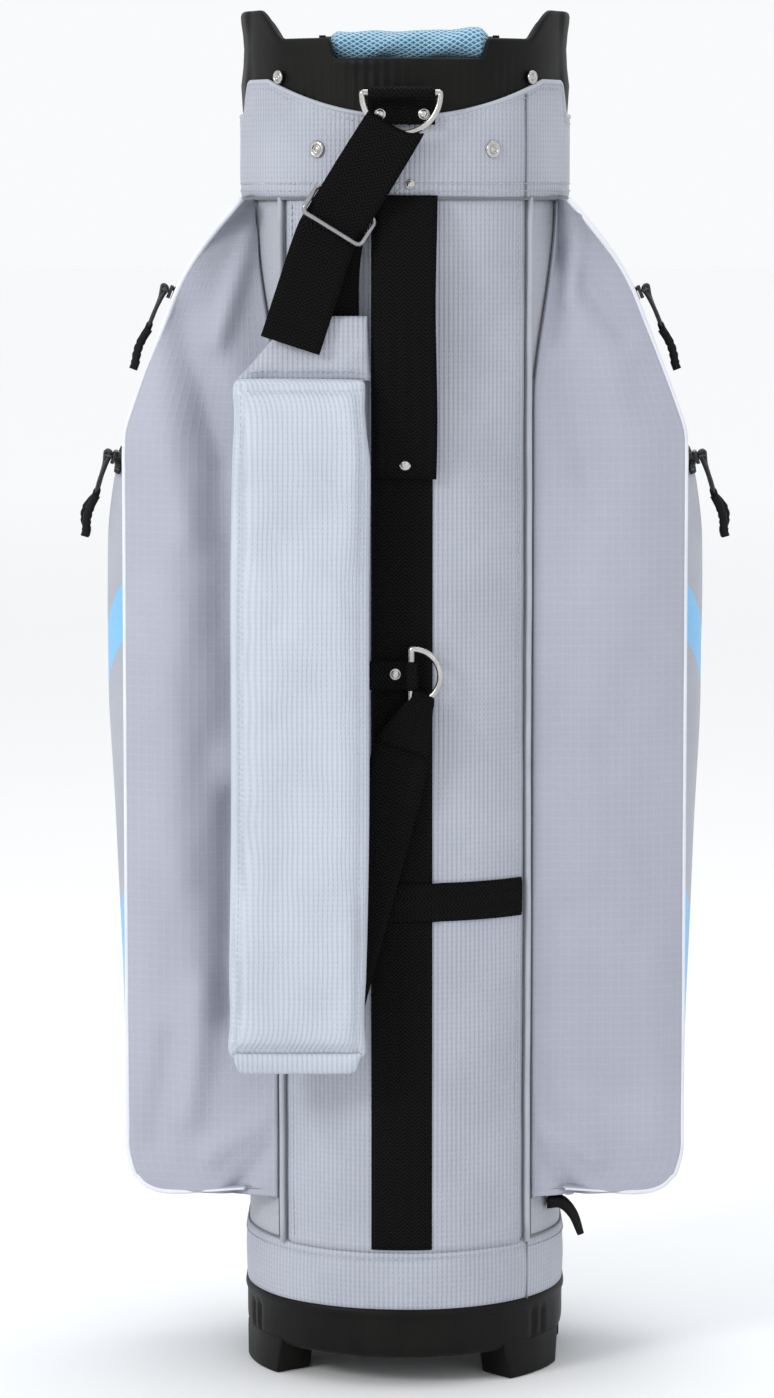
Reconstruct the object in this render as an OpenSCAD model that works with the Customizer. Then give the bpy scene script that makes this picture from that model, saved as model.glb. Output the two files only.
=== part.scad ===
// Golf cart bag: an oval tube with a moulded top cuff, a divided top, side and front pockets,
// a spine with webbing, and a padded shoulder strap between two D-rings.
// The bag stands on its feet, +Z up. Its spine faces -Y, and +X is to the right of it.

/* [Tube] */
// Radius of the oval's rounded back and front, over the cover
tube_r = 101.3; // [100.8:0.1:101.6]
// Half length of the oval's straight flanks
flank = 16; // [15:0.5:17]
// Height of the seam between the base band and the cover
band_z = 89; // [86:1:92]
// Height of the seam between the cover and the collar
collar_z = 753; // [750:1:756]

/* [Top] */
// Height of the rim between the ears
rim_z = 851.5; // [850:0.5:853]
// Height of the tops of the ears
ear_z = 870; // [867:1:873]
// Height of the bottom of the hand notch in the rim
notch_z = 839; // [837:1:841]
// Radius of the padded grip behind the notch
grip_r = 9; // [8:0.5:9.5]

/* [Base] */
// Height of the boot's underside, which the feet carry
boot_z = 19; // [17:1:21]
// Height of the boot's top edge
boot_top_z = 50; // [48:1:52]

/* [Strap] */
// Width of the shoulder strap's webbing
strap_w = 38; // [36:1:39]
// Width of the spine's webbing
spine_w = 39; // [36:1:40]
// Width of the shoulder pad
pad_w = 86; // [80:1:86]
// Thickness of the shoulder pad
pad_t = 22; // [18:1:24]
// Height of the pad's lower end
pad_z0 = 218; // [215:1:230]
// Height of the pad's upper end
pad_z1 = 642; // [638:1:645]

/* [Pockets] */
// Wall thickness of the pockets' fabric and foam
pocket_t = 3; // [2.5:0.1:3.5]
// Height of the side pockets' lower edge
pocket_z = 109; // [107:1:112]

/* [Hidden] */
$fn = 96;

// Gap between separate pieces
gap = 0.3;
// Wall radii from the inside out
tube_ri = 96.2;
tube_ro = 98.2;
cuff_ro = 102.7;
collar_ro = 105.5;
band_ro = 102.7;
panel_ro = tube_r + gap + 1.2;
webbing_t = 1.5;
spine_web_ro = panel_ro + gap + webbing_t;
cross_ro = spine_web_ro + gap + webbing_t;
far = 200;
tall = 1000;
floor_t = 4;
floor_top = boot_z + floor_t + 2 * gap;
inner_z1 = 815;

// Feet: the angles that each one spans from the tube's side, and the turn of all four
foot_a0 = 8;
foot_a1 = 46;
foot_turn = -6;

// Spine
panel_x = 75.5;
piping_r = 1.9;
piping_out = 2.4;
cross_z = 300;
cross_w = 24.5;
spine_x = -2;
handle_x = 0;
handle_z0 = 585;
handle_bow = 18;
handle_t = 3;

// D-rings: wire radius and bore clearance
wire_r = 2;
bore_r = wire_r + 0.08;
ring_x = -2.5;
ring_y = -132.5;
ring_z = 817;
ring_r = 24;
low_ring_x = 4;
low_ring_y = -128;
low_ring_z = 456;
low_ring_r = 17;

// Strap: the fold hangs on the ring's arc, turned strap_a from straight down
strap_a = 31.7;
fold_a = 16;
fold_x = ring_x - ring_r * sin(fold_a);
fold_z = ring_z - 1 - ring_r * cos(fold_a);
fold_ri = 3.2;
fold_up = 8.5;
fold_w = 24;
fold_len = 78;
wide_s = 8;
glide_s = 60;
glide_h = 22;
tail_a = 18;
tail_lean = 8;
tail_len = 69;
pad_x = -63.5;
pad_y = -135;
cap_x = -47;

// Half width of the bag over its side pockets, as [height, half width]
side_line = [
  [pocket_z, 160], [118, 172], [137, 180], [182, 182], [298, 186], [427, 192], [491, 193],
  [543, 192], [575, 188], [613, 177], [655, 161], [703, 142], [728, 125], [collar_z - 1, 104]
];
upper_zip_z = 692;
lower_zip_z = 585;

// Front pockets: half widths, faces and heights
ball_half = 78;
ball_y = 150;
ball_z = [112, 385];
valuables_half = 72;
valuables_y = 142;
valuables_z = [412, 560];

function side_x(z) = lookup(z, side_line);
function side_tilt(z) = atan((side_x(z - 5) - side_x(z + 5)) / 10);
function wall_y(r, x) = -(flank + sqrt(r * r - x * x));

// The tube's plan: two circles with straight flanks between them
module oval(r) {
  for (s = [-1, 1]) translate([0, s * flank]) circle(r);
  square([2 * r, 2 * flank], center = true);
}

module oval_ring(ri, ro, z0, z1) {
  translate([0, 0, z0]) linear_extrude(z1 - z0) difference() {
    oval(ro);
    oval(ri);
  }
}

// A curved patch on the back of the tube
module back_patch(ri, ro, x0, x1, z0, z1) {
  intersection() {
    oval_ring(ri, ro, z0, z1);
    translate([x0, -far, z0]) cube([x1 - x0, far - flank, z1 - z0]);
  }
}

// Puts its children on the back of an oval of radius r, with their +Z pointing outwards
module on_back(r, x, z) {
  translate([x, wall_y(r, x), z]) rotate([90, 0, asin(x / r)]) children();
}

// A shape given in X and Z, extruded along Y
module extrude_y(y0, y1) {
  translate([0, y1, 0]) rotate([90, 0, 0]) linear_extrude(y1 - y0) children();
}

// A rounded rectangle centred on the origin
module round_rect(w, h, r) {
  square([w - 2 * r, h], center = true);
  square([w, h - 2 * r], center = true);
  for (x = [-1, 1], y = [-1, 1]) translate([x * (w / 2 - r), y * (h / 2 - r)]) circle(r);
}

module dome(r, h) {
  cylinder(r = r, h = h * 0.4);
  translate([0, 0, h * 0.4]) intersection() {
    translate([0, 0, -r]) sphere(r * 1.5);
    cylinder(r = r * 0.98, h = h * 0.6);
  }
}

// ---- Base ----

// Four sectors of a ring under the boot, which sits a few degrees round on the tube
module base_feet() color("#1c1c1e") for (back = [0, 180], side = [0, 1]) rotate(back)
  translate([0, -flank, 0]) rotate(foot_turn) mirror([side, 0, 0]) rotate(-foot_a1)
    rotate_extrude(angle = foot_a1 - foot_a0) translate([74, 0]) square([cuff_ro - 74, boot_z]);

module base_floor() color("#1c1c1e")
  translate([0, 0, boot_z + gap]) linear_extrude(floor_t) oval(tube_ro);

module base_boot() color("#1c1c1e") {
  oval_ring(tube_ro + gap, cuff_ro, floor_top, boot_top_z);
  oval_ring(tube_ro + gap, cuff_ro - 1.2, boot_z + gap, floor_top + 0.4);
}

module base_band() color("#b4bac2") oval_ring(tube_r, band_ro, boot_top_z + gap, band_z);

// ---- Body ----

module inner_tube() color("#2a2a2c")
  oval_ring(tube_ri, tube_ro, floor_top, inner_z1);

module body_cover() color("#b9bfc8")
  oval_ring(tube_ro + gap, tube_r - gap, boot_top_z + gap, collar_z - gap);

module spine_panel() color("#c2c8d0")
  back_patch(tube_r, panel_ro, -panel_x, panel_x, band_z + gap, collar_z - gap);

module spine_piping() color("#c2c8d0") {
  x = panel_x + 2.5;
  for (s = [-1, 1]) translate([s * x, wall_y(tube_r + piping_out, x), band_z + gap])
    cylinder(r = piping_r, h = collar_z - band_z - 2 * gap, $fn = 32);
}

module spine_webbing() color("#111113")
  back_patch(panel_ro + gap, spine_web_ro, spine_x - spine_w / 2, spine_x + spine_w / 2,
             band_z + 1, collar_z - gap);

module cross_webbing() color("#111113")
  back_patch(spine_web_ro + gap, cross_ro, -panel_x, panel_x, cross_z, cross_z + cross_w);

// A bowed strip: an arc between its two ends
module spine_handle() color("#111113") {
  half = (collar_z - gap - handle_z0) / 2;
  r = (half * half + handle_bow * handle_bow) / (2 * handle_bow);
  y0 = -(flank + spine_web_ro + gap);
  z_mid = handle_z0 + half;
  translate([handle_x - spine_w / 2, 0, 0]) intersection() {
    translate([0, y0 - handle_bow + r, z_mid]) rotate([0, 90, 0]) difference() {
      cylinder(r = r, h = spine_w, $fn = 240);
      translate([0, 0, -1]) cylinder(r = r - handle_t, h = spine_w + 2, $fn = 240);
    }
    translate([-1, y0 - handle_bow - 1, z_mid - half]) cube([spine_w + 2, handle_bow + 1, 2 * half]);
  }
}

// One rivet on the handle's lower end and one on the collar above it
module spine_rivets() color("#d8d8dc") {
  handle_face = flank + spine_web_ro + handle_t;
  translate([handle_x, -handle_face, handle_z0 + 3]) rotate([90, 0, 0]) dome(3.6, 2);
  on_back(collar_ro + gap, 3, collar_z + 8) dome(3, 2);
}

// ---- Top ----

module collar() color("#b9bfc8") {
  dip_z = 803;
  shoulder_x = 97;
  shoulder_z = 826;
  side_z = 805;
  rise = shoulder_z - dip_z;
  r = (shoulder_x * shoulder_x + rise * rise) / (2 * rise);
  difference() {
    oval_ring(cuff_ro + gap, collar_ro, collar_z, shoulder_z);
    translate([0, far, dip_z + r]) rotate([90, 0, 0]) cylinder(r = r, h = 2 * far, $fn = 240);
    for (s = [0, 1]) mirror([s, 0, 0]) translate([shoulder_x, -far, side_z]) cube([far, 2 * far, tall]);
  }
}

module snap(r) difference() {
  cylinder(r = r, h = 2.4);
  translate([0, 0, 1]) cylinder(r = r / 2, h = 3);
}

module collar_snaps() color("#d8d8dc") for (s = [-1, 1]) {
  on_back(collar_ro + gap, s * 54.6, 782.6) snap(5.5);
  on_back(cuff_ro + gap, s * 79, 828.5) snap(4.5);
}

// The cuff's wall with a belt and flared ears on its sides, cut to the rim and the hand notch
module top_cuff() color("#19191b") {
  belt = [808, 832];
  ear_flare = 857;
  ear_x = 92;
  rim_x = 77;
  difference() {
    union() {
      oval_ring(tube_ro + gap, cuff_ro, collar_z, ear_z);
      intersection() {
        union() {
          oval_ring(cuff_ro - 1, cuff_ro + 2.2, belt[0], belt[1]);
          oval_ring(cuff_ro - 1, cuff_ro + 1.9, ear_flare, ear_z);
        }
        cube([3 * far, 6 * flank, 3 * tall], center = true);
      }
    }
    extrude_y(-far, far) polygon([
      [-ear_x, ear_z], [-rim_x, rim_z], [rim_x, rim_z], [ear_x, ear_z], [ear_x, ear_z + 5],
      [-ear_x, ear_z + 5]
    ]);
    translate([notch_x[0], -far, notch_z]) cube([notch_x[1] - notch_x[0], far - 60, 50]);
  }
}

notch_x = [-47, 52];
grip_y = -92;
grip_bar_r = 5;
grip_x0 = -46.5;
grip_x1 = 51.5;
grip_z = notch_z - 0.5 + grip_r;

// A bar between two lugs that reach out to the cuff's inner wall
module grip_bar() color("#19191b") {
  translate([grip_x0 - 3, grip_y, grip_z]) rotate([0, 90, 0])
    cylinder(r = grip_bar_r, h = grip_x1 - grip_x0 + 6);
  for (x = [grip_x0 - 7, grip_x1 + 3]) difference() {
    translate([x, -115, notch_z - 3]) cube([4, 30, 17]);
    difference() {
      translate([-far, -far, 0]) cube([2 * far, 2 * far, tall]);
      linear_extrude(tall) oval(tube_ro);
    }
  }
}

module grip_wrap() color("#8cc4e4")
  translate([grip_x0, grip_y, grip_z]) rotate([0, 90, 0]) difference() {
    cylinder(r = grip_r, h = grip_x1 - grip_x0);
    translate([0, 0, -1]) cylinder(r = grip_bar_r + gap, h = grip_x1 - grip_x0 + 2);
  }

// The dividers: three cross walls with shorter walls between them, 3-4-4-3 wells
divider_z = 797;
divider_h = 22;
divider_r = 92.3;
row_y = [-55, 0, 55];
row_cols = [[-32, 32], [-47, 0, 47], [-47, 0, 47], [-32, 32]];
row_lo = [-112, -55, 0, 55];
row_hi = [-55, 0, 55, 112];

module divider_walls(r, t, z0, z1) {
  for (y = row_y) intersection() {
    translate([0, 0, z0]) linear_extrude(z1 - z0) oval(r);
    translate([-far, y - t / 2, z0]) cube([2 * far, t, z1 - z0]);
  }
  for (i = [0:3], x = row_cols[i]) intersection() {
    translate([0, 0, z0]) linear_extrude(z1 - z0) oval(r);
    translate([x - t / 2, row_lo[i] + t / 2 + gap, z0])
      cube([t, row_hi[i] - row_lo[i] - t - 2 * gap, z1 - z0]);
  }
}

module divider_ring() color("#202022")
  oval_ring(divider_r + gap, tube_ri - gap, divider_z, divider_z + divider_h);

module divider_bars() color("#202022") divider_walls(divider_r, 5, divider_z, divider_z + divider_h);

module divider_panels() color("#2c2c30")
  divider_walls(tube_ri - gap, 1.2, floor_top + 0.4, divider_z - gap);

// ---- D-rings and strap ----

// A tab folded round the ring's bar, and the two rivets through it
module ring_keeper() color("#111113") {
  x0 = -23;
  x1 = 18.5;
  back_face = -121.8;
  tab_t = 2.5;
  tab_z = 798;
  difference() {
    union() {
      translate([x0, ring_y, ring_z]) rotate([0, 90, 0]) cylinder(r = 4, h = x1 - x0);
      translate([x0, ring_y, ring_z]) cube([x1 - x0, back_face - ring_y, 4]);
      translate([x0, back_face - tab_t, tab_z]) cube([x1 - x0, tab_t, ring_z + 1 - tab_z]);
    }
    translate([x0 - 1, ring_y, ring_z]) rotate([0, 90, 0]) cylinder(r = bore_r, h = x1 - x0 + 2);
  }
  for (x = [-15.5, 11.5]) translate([x, back_face - tab_t - gap, tab_z + 6]) rotate([90, 0, 0])
    dome(3.5, 1.6);
}

// A D of round wire: a straight bar along +X with the arc below it
module d_ring(r) {
  translate([-r, 0, 0]) rotate([0, 90, 0]) cylinder(r = wire_r, h = 2 * r);
  for (s = [-1, 1]) translate([s * r, 0, 0]) {
    sphere(wire_r);
    translate([0, 0, -1]) cylinder(r = wire_r, h = 1);
  }
  translate([0, 0, -1]) rotate([-90, 0, 0]) rotate_extrude(angle = 180) translate([r, 0]) circle(wire_r);
}

module upper_d_ring() color("#d8d8dc") translate([ring_x, ring_y, ring_z]) d_ring(ring_r);

// A straight strip of webbing: from the point (x, z), turned a from straight down, facing -Y
module strip(x, z, a, w, length, y0, y1) {
  translate([x, 0, z]) rotate([0, a, 0]) translate([-w / 2, y0, -length]) cube([w, y1 - y0, length]);
}

// Where the two layers part, below the slider
end_x = fold_x - (fold_len - 1) * sin(strap_a);
end_z = fold_z - (fold_len - 1) * cos(strap_a);
fold_ro = fold_ri + webbing_t;
back_y = ring_y + fold_ri;
front_y = ring_y - fold_ro;

// The layer that runs from the slider into the pad's cap, grown by g on its faces
module strap_main(g) {
  length = end_z + 6 - pad_z1 - 8;
  strip(end_x + 2, end_z + 6, 0, strap_w + 2 * g, length, back_y - g, back_y + webbing_t + g);
}

// A strip along the strap's slant that starts s below the ring's arc
module strip_from_fold(s, w, length, y) {
  strip(fold_x - s * sin(strap_a), fold_z - s * cos(strap_a), strap_a, w, length, y, y + webbing_t);
}

// The webbing is gathered where it folds over the ring's arc
module strap_webbing() color("#111113") {
  translate([fold_x, ring_y, fold_z]) rotate([0, strap_a, 0]) translate([-fold_w / 2, 0, fold_up])
    rotate([0, 90, 0]) difference() {
      cylinder(r = fold_ro, h = fold_w);
      translate([0, 0, -1]) cylinder(r = fold_ri, h = fold_w + 2);
      translate([0, -10, -1]) cube([10, 20, fold_w + 2]);
    }
  for (y = [front_y, back_y]) {
    strip_from_fold(-fold_up, fold_w, 22, y);
    strip_from_fold(wide_s, strap_w, fold_len - wide_s, y);
  }
  strap_main(0);
  translate([end_x, front_y, end_z + 1]) rotate([-tail_lean, 0, 0])
    strip(0, 0, tail_a, strap_w, tail_len, 0, webbing_t);
}

// The webbing's front layer runs over the middle bar and behind the two outer bars
module tri_glide() color("#a8a8ac") {
  rail = 2.6;
  bar = 3;
  front = -8.6;
  half_w = strap_w / 2 + 0.6;
  translate([fold_x, ring_y, fold_z]) rotate([0, strap_a, 0]) translate([0, 0, -glide_s]) {
    for (s = [0, 1]) mirror([s, 0, 0]) translate([half_w, front, -glide_h / 2]) cube([rail, 10.2, glide_h]);
    for (s = [0, 1]) mirror([0, 0, s]) translate([-half_w, front, glide_h / 2 - bar])
      cube([2 * half_w, rail, bar]);
    translate([-half_w, 0, 0]) rotate([0, 90, 0]) cylinder(r = bar / 2, h = 2 * half_w);
  }
}

module pad_cap() color("#b9bfc8") {
  top = pad_z1 + 38;
  difference() {
    extrude_y(pad_y - 5.5, pad_y + 9.5)
      polygon([[pad_x - pad_w / 2 + 1, pad_z1 + gap], [pad_x + pad_w / 2 - 1, pad_z1 + gap],
               [cap_x + 24, top], [cap_x - 24, top]]);
    strap_main(gap);
  }
}

module shoulder_pad() color("#bfc5ce") {
  h = pad_z1 - pad_z0;
  translate([pad_x, pad_y, pad_z0 + h / 2]) rotate([90, 0, 0]) linear_extrude(pad_t) round_rect(pad_w, h, 6);
  translate([pad_x - pad_w / 2 + 3, pad_y - pad_t + 4, pad_z0 - 10]) cube([pad_w - 6, pad_t - 6, 12]);
}

module lower_ring_tab() color("#111113") {
  z0 = low_ring_z - 8;
  h = 18;
  eye_r = 3.8;
  x0 = -26;
  back_face = -121.5;
  tab_t = 2.5;
  difference() {
    union() {
      translate([low_ring_x, low_ring_y, z0]) cylinder(r = eye_r, h = h);
      translate([low_ring_x - 1, low_ring_y, z0]) cube([eye_r + 1, back_face - low_ring_y, h]);
      translate([x0, back_face - tab_t, z0]) cube([low_ring_x - x0, tab_t, h]);
    }
    translate([low_ring_x, low_ring_y, z0 - 1]) cylinder(r = bore_r, h = h + 2);
  }
  translate([-6, back_face - tab_t, low_ring_z]) rotate([90, 0, 0]) dome(3.5, 1.6);
}

module lower_d_ring() color("#d8d8dc")
  translate([low_ring_x, low_ring_y, low_ring_z]) rotate([0, -90, 0]) d_ring(low_ring_r);

// A loop round the ring's arc, and the webbing that runs down behind the pad
module strap_lower_webbing() color("#111113") {
  a = 35;
  slant = 15;
  loop_ri = 6;
  loop_w = 10;
  neck_w = 12;
  x = low_ring_x + 1 + low_ring_r * sin(a);
  z = low_ring_z - low_ring_r * cos(a);
  wide_x = x - 9;
  wide_z = z - 32;
  web_y = low_ring_y - 0.8;
  difference() {
    union() {
      translate([x, low_ring_y, z]) rotate([0, 90 - a, 0])
        cylinder(r = loop_ri + webbing_t, h = loop_w, center = true);
      strip(x - 1, z - 7, slant, neck_w, 34, web_y, web_y + 1.6);
    }
    translate([x, low_ring_y, z]) rotate([0, 90 - a, 0]) cylinder(r = loop_ri, h = 70, center = true);
  }
  strip(wide_x, wide_z, slant, strap_w, wide_z - pad_z0 + 12, web_y, web_y + 1.6);
}

// ---- Side pockets ----

// The pocket's plan on the right side, drawn in by t
module side_plan(t) {
  polygon([[70, -86 + t * 1.2], [179 - t, -56 + t], [196 - t, -38 + t / 2], [196 - t, 38 - t / 2],
           [179 - t, 56 - t], [70, 86 - t * 1.2]]);
}

module side_elevation(t) {
  z0 = pocket_z + t;
  z1 = collar_z - 1 - 3 * t;
  polygon(concat([[60, z1], [60, z0]],
                 [for (p = side_line) if (p[0] > z0 && p[0] < z1) [p[1] - t, p[0]]],
                 [[side_x(z1) - t, z1]]));
}

module side_solid(t) {
  intersection() {
    linear_extrude(tall) side_plan(t);
    extrude_y(-far, far) side_elevation(t);
  }
}

module side_pocket() {
  difference() {
    side_solid(0);
    linear_extrude(tall) oval(tube_r + 2.2);
    difference() {
      side_solid(pocket_t);
      linear_extrude(tall) oval(tube_r + 2.2 + pocket_t);
    }
    translate([0, -far, 0]) cube([panel_x + 6, far, tall]);
    translate([panel_x + 2, wall_y(tube_r + piping_out, panel_x + 2), 0]) cylinder(r = 4, h = tall);
  }
}

module side_pocket_left() color("#aab0bc") mirror([1, 0, 0]) side_pocket();

module side_pocket_right() color("#aab0bc") side_pocket();

// The bead along the pocket's rear edge, from the collar down to the lower corner
module side_piping() color("white") {
  z0 = pocket_z + 22;
  z1 = collar_z - 6;
  line = [for (p = side_line) if (p[0] > z0 && p[0] < z1) p];
  pts = concat([[z0, side_x(z0)]], line, [[z1, side_x(z1)]]);
  n = len(pts);
  edge = [for (p = pts) min(p[1] - 10.5, 178.5)];
  for (s = [0, 1]) mirror([s, 0, 0]) intersection() {
    linear_extrude(tall) polygon([[90, -80.6], [179, -56.4], [179, -59.4], [90, -83.6]]);
    extrude_y(-far, far)
      polygon(concat([for (i = [0:n - 1]) [edge[i] - 3.5, pts[i][0]]],
                     [for (i = [n - 1:-1:0]) [edge[i], pts[i][0]]]));
  }
}

// A small tapered tab that hangs beside the tube under the right pocket
module umbrella_tab() color("#19191b") {
  translate([104, -62, 0]) extrude_y(-6.5, 6.5)
    polygon([[-1, 106], [6, 108], [16, 84], [11, 82]]);
}

// ---- Zips ----

// Puts its children on the right side pocket, with X along the bag's +Y, Y up and Z outwards
module on_side(z, y) {
  translate([side_x(z), y, z]) rotate([0, -side_tilt(z), 0]) rotate([90, 0, 90]) children();
}

// Puts its children on a front pocket's face, with X along the bag's -X, Y up and Z outwards
module on_front(x, y, z) {
  translate([x, y, z]) rotate([90, 0, 180]) children();
}

// Tape and teeth, along X
module zip_chain(length) {
  tape = [length, 16, 0.8];
  teeth = [length - 6, 5, 1.6];
  translate([0, 0, gap + tape[2] / 2]) cube(tape, center = true);
  translate([0, 0, gap + teeth[2] / 2]) cube(teeth, center = true);
}

// A slider with a bail on top: the pull hangs on its bar
bail_h = 8;
module slider() {
  wire = 0.8;
  leg_x = 3.4;
  leg_z = 4.4;
  translate([0, 0, leg_z - 1]) cube([9, 8, 2.2], center = true);
  for (s = [-1, 1]) {
    translate([s * leg_x, 0, leg_z]) cylinder(r = wire, h = bail_h - leg_z, $fn = 24);
    translate([s * leg_x, 0, bail_h]) sphere(wire, $fn = 24);
  }
  translate([-leg_x, 0, bail_h]) rotate([0, 90, 0]) cylinder(r = wire, h = 2 * leg_x, $fn = 24);
}

// A cord eye, its stem and a moulded grip
module pull() {
  eye_r = 2.2;
  stem = 24;
  grip = [6.5, 28, 5];
  translate([0, 0, bail_h]) {
    rotate([0, 90, 0]) rotate_extrude($fn = 48) translate([eye_r, 0]) circle(0.9, $fn = 24);
    translate([0, -eye_r - 0.2, 0]) rotate([90, 0, 0]) cylinder(r = 1.5, h = stem);
    translate([0, -stem - 2 - grip[1] / 2, 0]) linear_extrude(grip[2], center = true)
      round_rect(grip[0], grip[1], 2);
  }
}

zip_drop = 22;
side_zip = 104;

module side_zips() color("#151517") for (s = [0, 1]) mirror([s, 0, 0]) {
  on_side(upper_zip_z, 0) zip_chain(side_zip);
  on_side(lower_zip_z, 0) zip_chain(side_zip);
}

module front_zips() color("#151517") {
  on_front(0, ball_y, ball_z[1] - zip_drop) zip_chain(120);
  on_front(0, valuables_y, valuables_z[1] - zip_drop) zip_chain(110);
}

slider_color = "#3a3a3e";
pull_color = "#111113";
upper_y = -42;
meet_y = 5.2;
ball_x = -50;
valuables_x = -45;

module upper_slider_left() color(slider_color) mirror([1, 0, 0]) on_side(upper_zip_z, upper_y) slider();
module upper_pull_left() color(pull_color) mirror([1, 0, 0]) on_side(upper_zip_z, upper_y) pull();
module upper_slider_right() color(slider_color) on_side(upper_zip_z, upper_y) slider();
module upper_pull_right() color(pull_color) on_side(upper_zip_z, upper_y) pull();
module back_slider_left() color(slider_color) mirror([1, 0, 0]) on_side(lower_zip_z, -meet_y) slider();
module back_pull_left() color(pull_color) mirror([1, 0, 0]) on_side(lower_zip_z, -meet_y) pull();
module back_slider_right() color(slider_color) on_side(lower_zip_z, -meet_y) slider();
module back_pull_right() color(pull_color) on_side(lower_zip_z, -meet_y) pull();
module fore_slider_left() color(slider_color) mirror([1, 0, 0]) on_side(lower_zip_z, meet_y) slider();
module fore_pull_left() color(pull_color) mirror([1, 0, 0]) on_side(lower_zip_z, meet_y) pull();
module fore_slider_right() color(slider_color) on_side(lower_zip_z, meet_y) slider();
module fore_pull_right() color(pull_color) on_side(lower_zip_z, meet_y) pull();
module ball_slider() color(slider_color) on_front(ball_x, ball_y, ball_z[1] - zip_drop) slider();
module ball_pull() color(pull_color) on_front(ball_x, ball_y, ball_z[1] - zip_drop) pull();
module valuables_slider() color(slider_color)
  on_front(valuables_x, valuables_y, valuables_z[1] - zip_drop) slider();
module valuables_pull() color(pull_color)
  on_front(valuables_x, valuables_y, valuables_z[1] - zip_drop) pull();

// ---- Front pockets ----

// A front pocket's plan, drawn in by t, with its two outer corners cut off
module front_plan(half, y, t) {
  cut = 12;
  y0 = 60;
  polygon([
    [-half + t, y0], [-half + t, y - cut], [-half + cut + t / 2, y - t], [half - cut - t / 2, y - t],
    [half - t, y - cut], [half - t, y0]
  ]);
}

module front_pocket(half, y, z) {
  difference() {
    translate([0, 0, z[0]]) linear_extrude(z[1] - z[0]) front_plan(half, y, 0);
    linear_extrude(tall) oval(tube_r + gap);
    translate([0, 0, z[0] + pocket_t]) linear_extrude(z[1] - z[0] - 2 * pocket_t) difference() {
      front_plan(half, y, pocket_t);
      oval(tube_r + gap + pocket_t);
    }
  }
}

module ball_pocket() color("#aab0bc") front_pocket(ball_half, ball_y, ball_z);

module valuables_pocket() color("#aab0bc") front_pocket(valuables_half, valuables_y, valuables_z);

// A webbing handle on the front of the collar, with a gap for the hand
module front_handle() color("#111113") {
  y0 = flank + collar_ro;
  outer = [96, 44];
  hand = [86, 54];
  translate([0, 0, collar_z + 12]) linear_extrude(26) difference() {
    translate([0, y0 + 2]) square(outer, center = true);
    translate([0, y0 - 6]) square(hand, center = true);
    oval(collar_ro + gap);
  }
}

// Where the towel ring hangs, on the front of the body
towel_y = 122.5;
towel_z = 700;
towel_w = 18;

module towel_tab() color("#111113") difference() {
  union() {
    translate([-towel_w / 2, flank + tube_r + gap, towel_z - 4]) cube([towel_w, 4, 34]);
    translate([-towel_w / 2, towel_y, towel_z]) rotate([0, 90, 0]) cylinder(r = 4, h = towel_w);
  }
  translate([-towel_w, towel_y, towel_z]) rotate([0, 90, 0]) cylinder(r = bore_r, h = 2 * towel_w);
}

module towel_ring() color("#d8d8dc") translate([0, towel_y, towel_z]) d_ring(20);

base_feet();
base_floor();
base_boot();
base_band();
inner_tube();
body_cover();
spine_panel();
spine_piping();
spine_webbing();
spine_handle();
cross_webbing();
spine_rivets();
collar();
collar_snaps();
top_cuff();
grip_bar();
grip_wrap();
divider_ring();
divider_bars();
divider_panels();
ring_keeper();
upper_d_ring();
strap_webbing();
tri_glide();
pad_cap();
shoulder_pad();
lower_ring_tab();
lower_d_ring();
strap_lower_webbing();
side_pocket_left();
side_pocket_right();
side_piping();
side_zips();
umbrella_tab();
ball_pocket();
valuables_pocket();
front_zips();
front_handle();
towel_tab();
towel_ring();
upper_slider_left();
upper_pull_left();
upper_slider_right();
upper_pull_right();
back_slider_left();
back_pull_left();
back_slider_right();
back_pull_right();
fore_slider_left();
fore_pull_left();
fore_slider_right();
fore_pull_right();
ball_slider();
ball_pull();
valuables_slider();
valuables_pull();
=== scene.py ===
# A golf cart bag seen from its spine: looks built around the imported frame.
# The bag stands on Z = 0, its spine and shoulder strap face -Y. Sizes are in millimetres times MM.
import math

import bmesh
import bpy
import numpy as np
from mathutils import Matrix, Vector


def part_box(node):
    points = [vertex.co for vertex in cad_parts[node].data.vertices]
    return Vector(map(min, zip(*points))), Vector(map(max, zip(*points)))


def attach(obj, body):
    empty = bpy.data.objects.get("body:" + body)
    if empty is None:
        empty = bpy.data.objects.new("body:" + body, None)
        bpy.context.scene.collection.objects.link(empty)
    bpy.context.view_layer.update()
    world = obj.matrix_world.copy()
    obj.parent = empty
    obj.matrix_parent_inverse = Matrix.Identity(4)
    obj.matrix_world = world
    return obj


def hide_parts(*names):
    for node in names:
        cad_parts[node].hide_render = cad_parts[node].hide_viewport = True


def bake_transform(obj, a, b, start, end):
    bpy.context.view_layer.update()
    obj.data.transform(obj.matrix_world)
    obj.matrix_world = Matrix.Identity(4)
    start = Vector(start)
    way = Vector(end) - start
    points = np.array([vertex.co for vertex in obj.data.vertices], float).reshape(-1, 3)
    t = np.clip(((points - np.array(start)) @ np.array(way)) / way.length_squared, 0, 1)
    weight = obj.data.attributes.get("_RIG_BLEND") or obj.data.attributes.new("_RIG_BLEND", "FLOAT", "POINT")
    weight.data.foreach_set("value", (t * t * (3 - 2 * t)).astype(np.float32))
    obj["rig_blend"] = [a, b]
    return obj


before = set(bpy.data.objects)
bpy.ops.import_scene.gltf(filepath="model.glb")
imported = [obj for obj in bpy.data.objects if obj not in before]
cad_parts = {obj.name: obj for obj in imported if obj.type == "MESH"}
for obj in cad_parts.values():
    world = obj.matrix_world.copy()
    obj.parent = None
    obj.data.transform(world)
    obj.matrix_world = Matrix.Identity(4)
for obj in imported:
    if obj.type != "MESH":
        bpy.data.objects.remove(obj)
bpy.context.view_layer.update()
MM = 0.001

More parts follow.
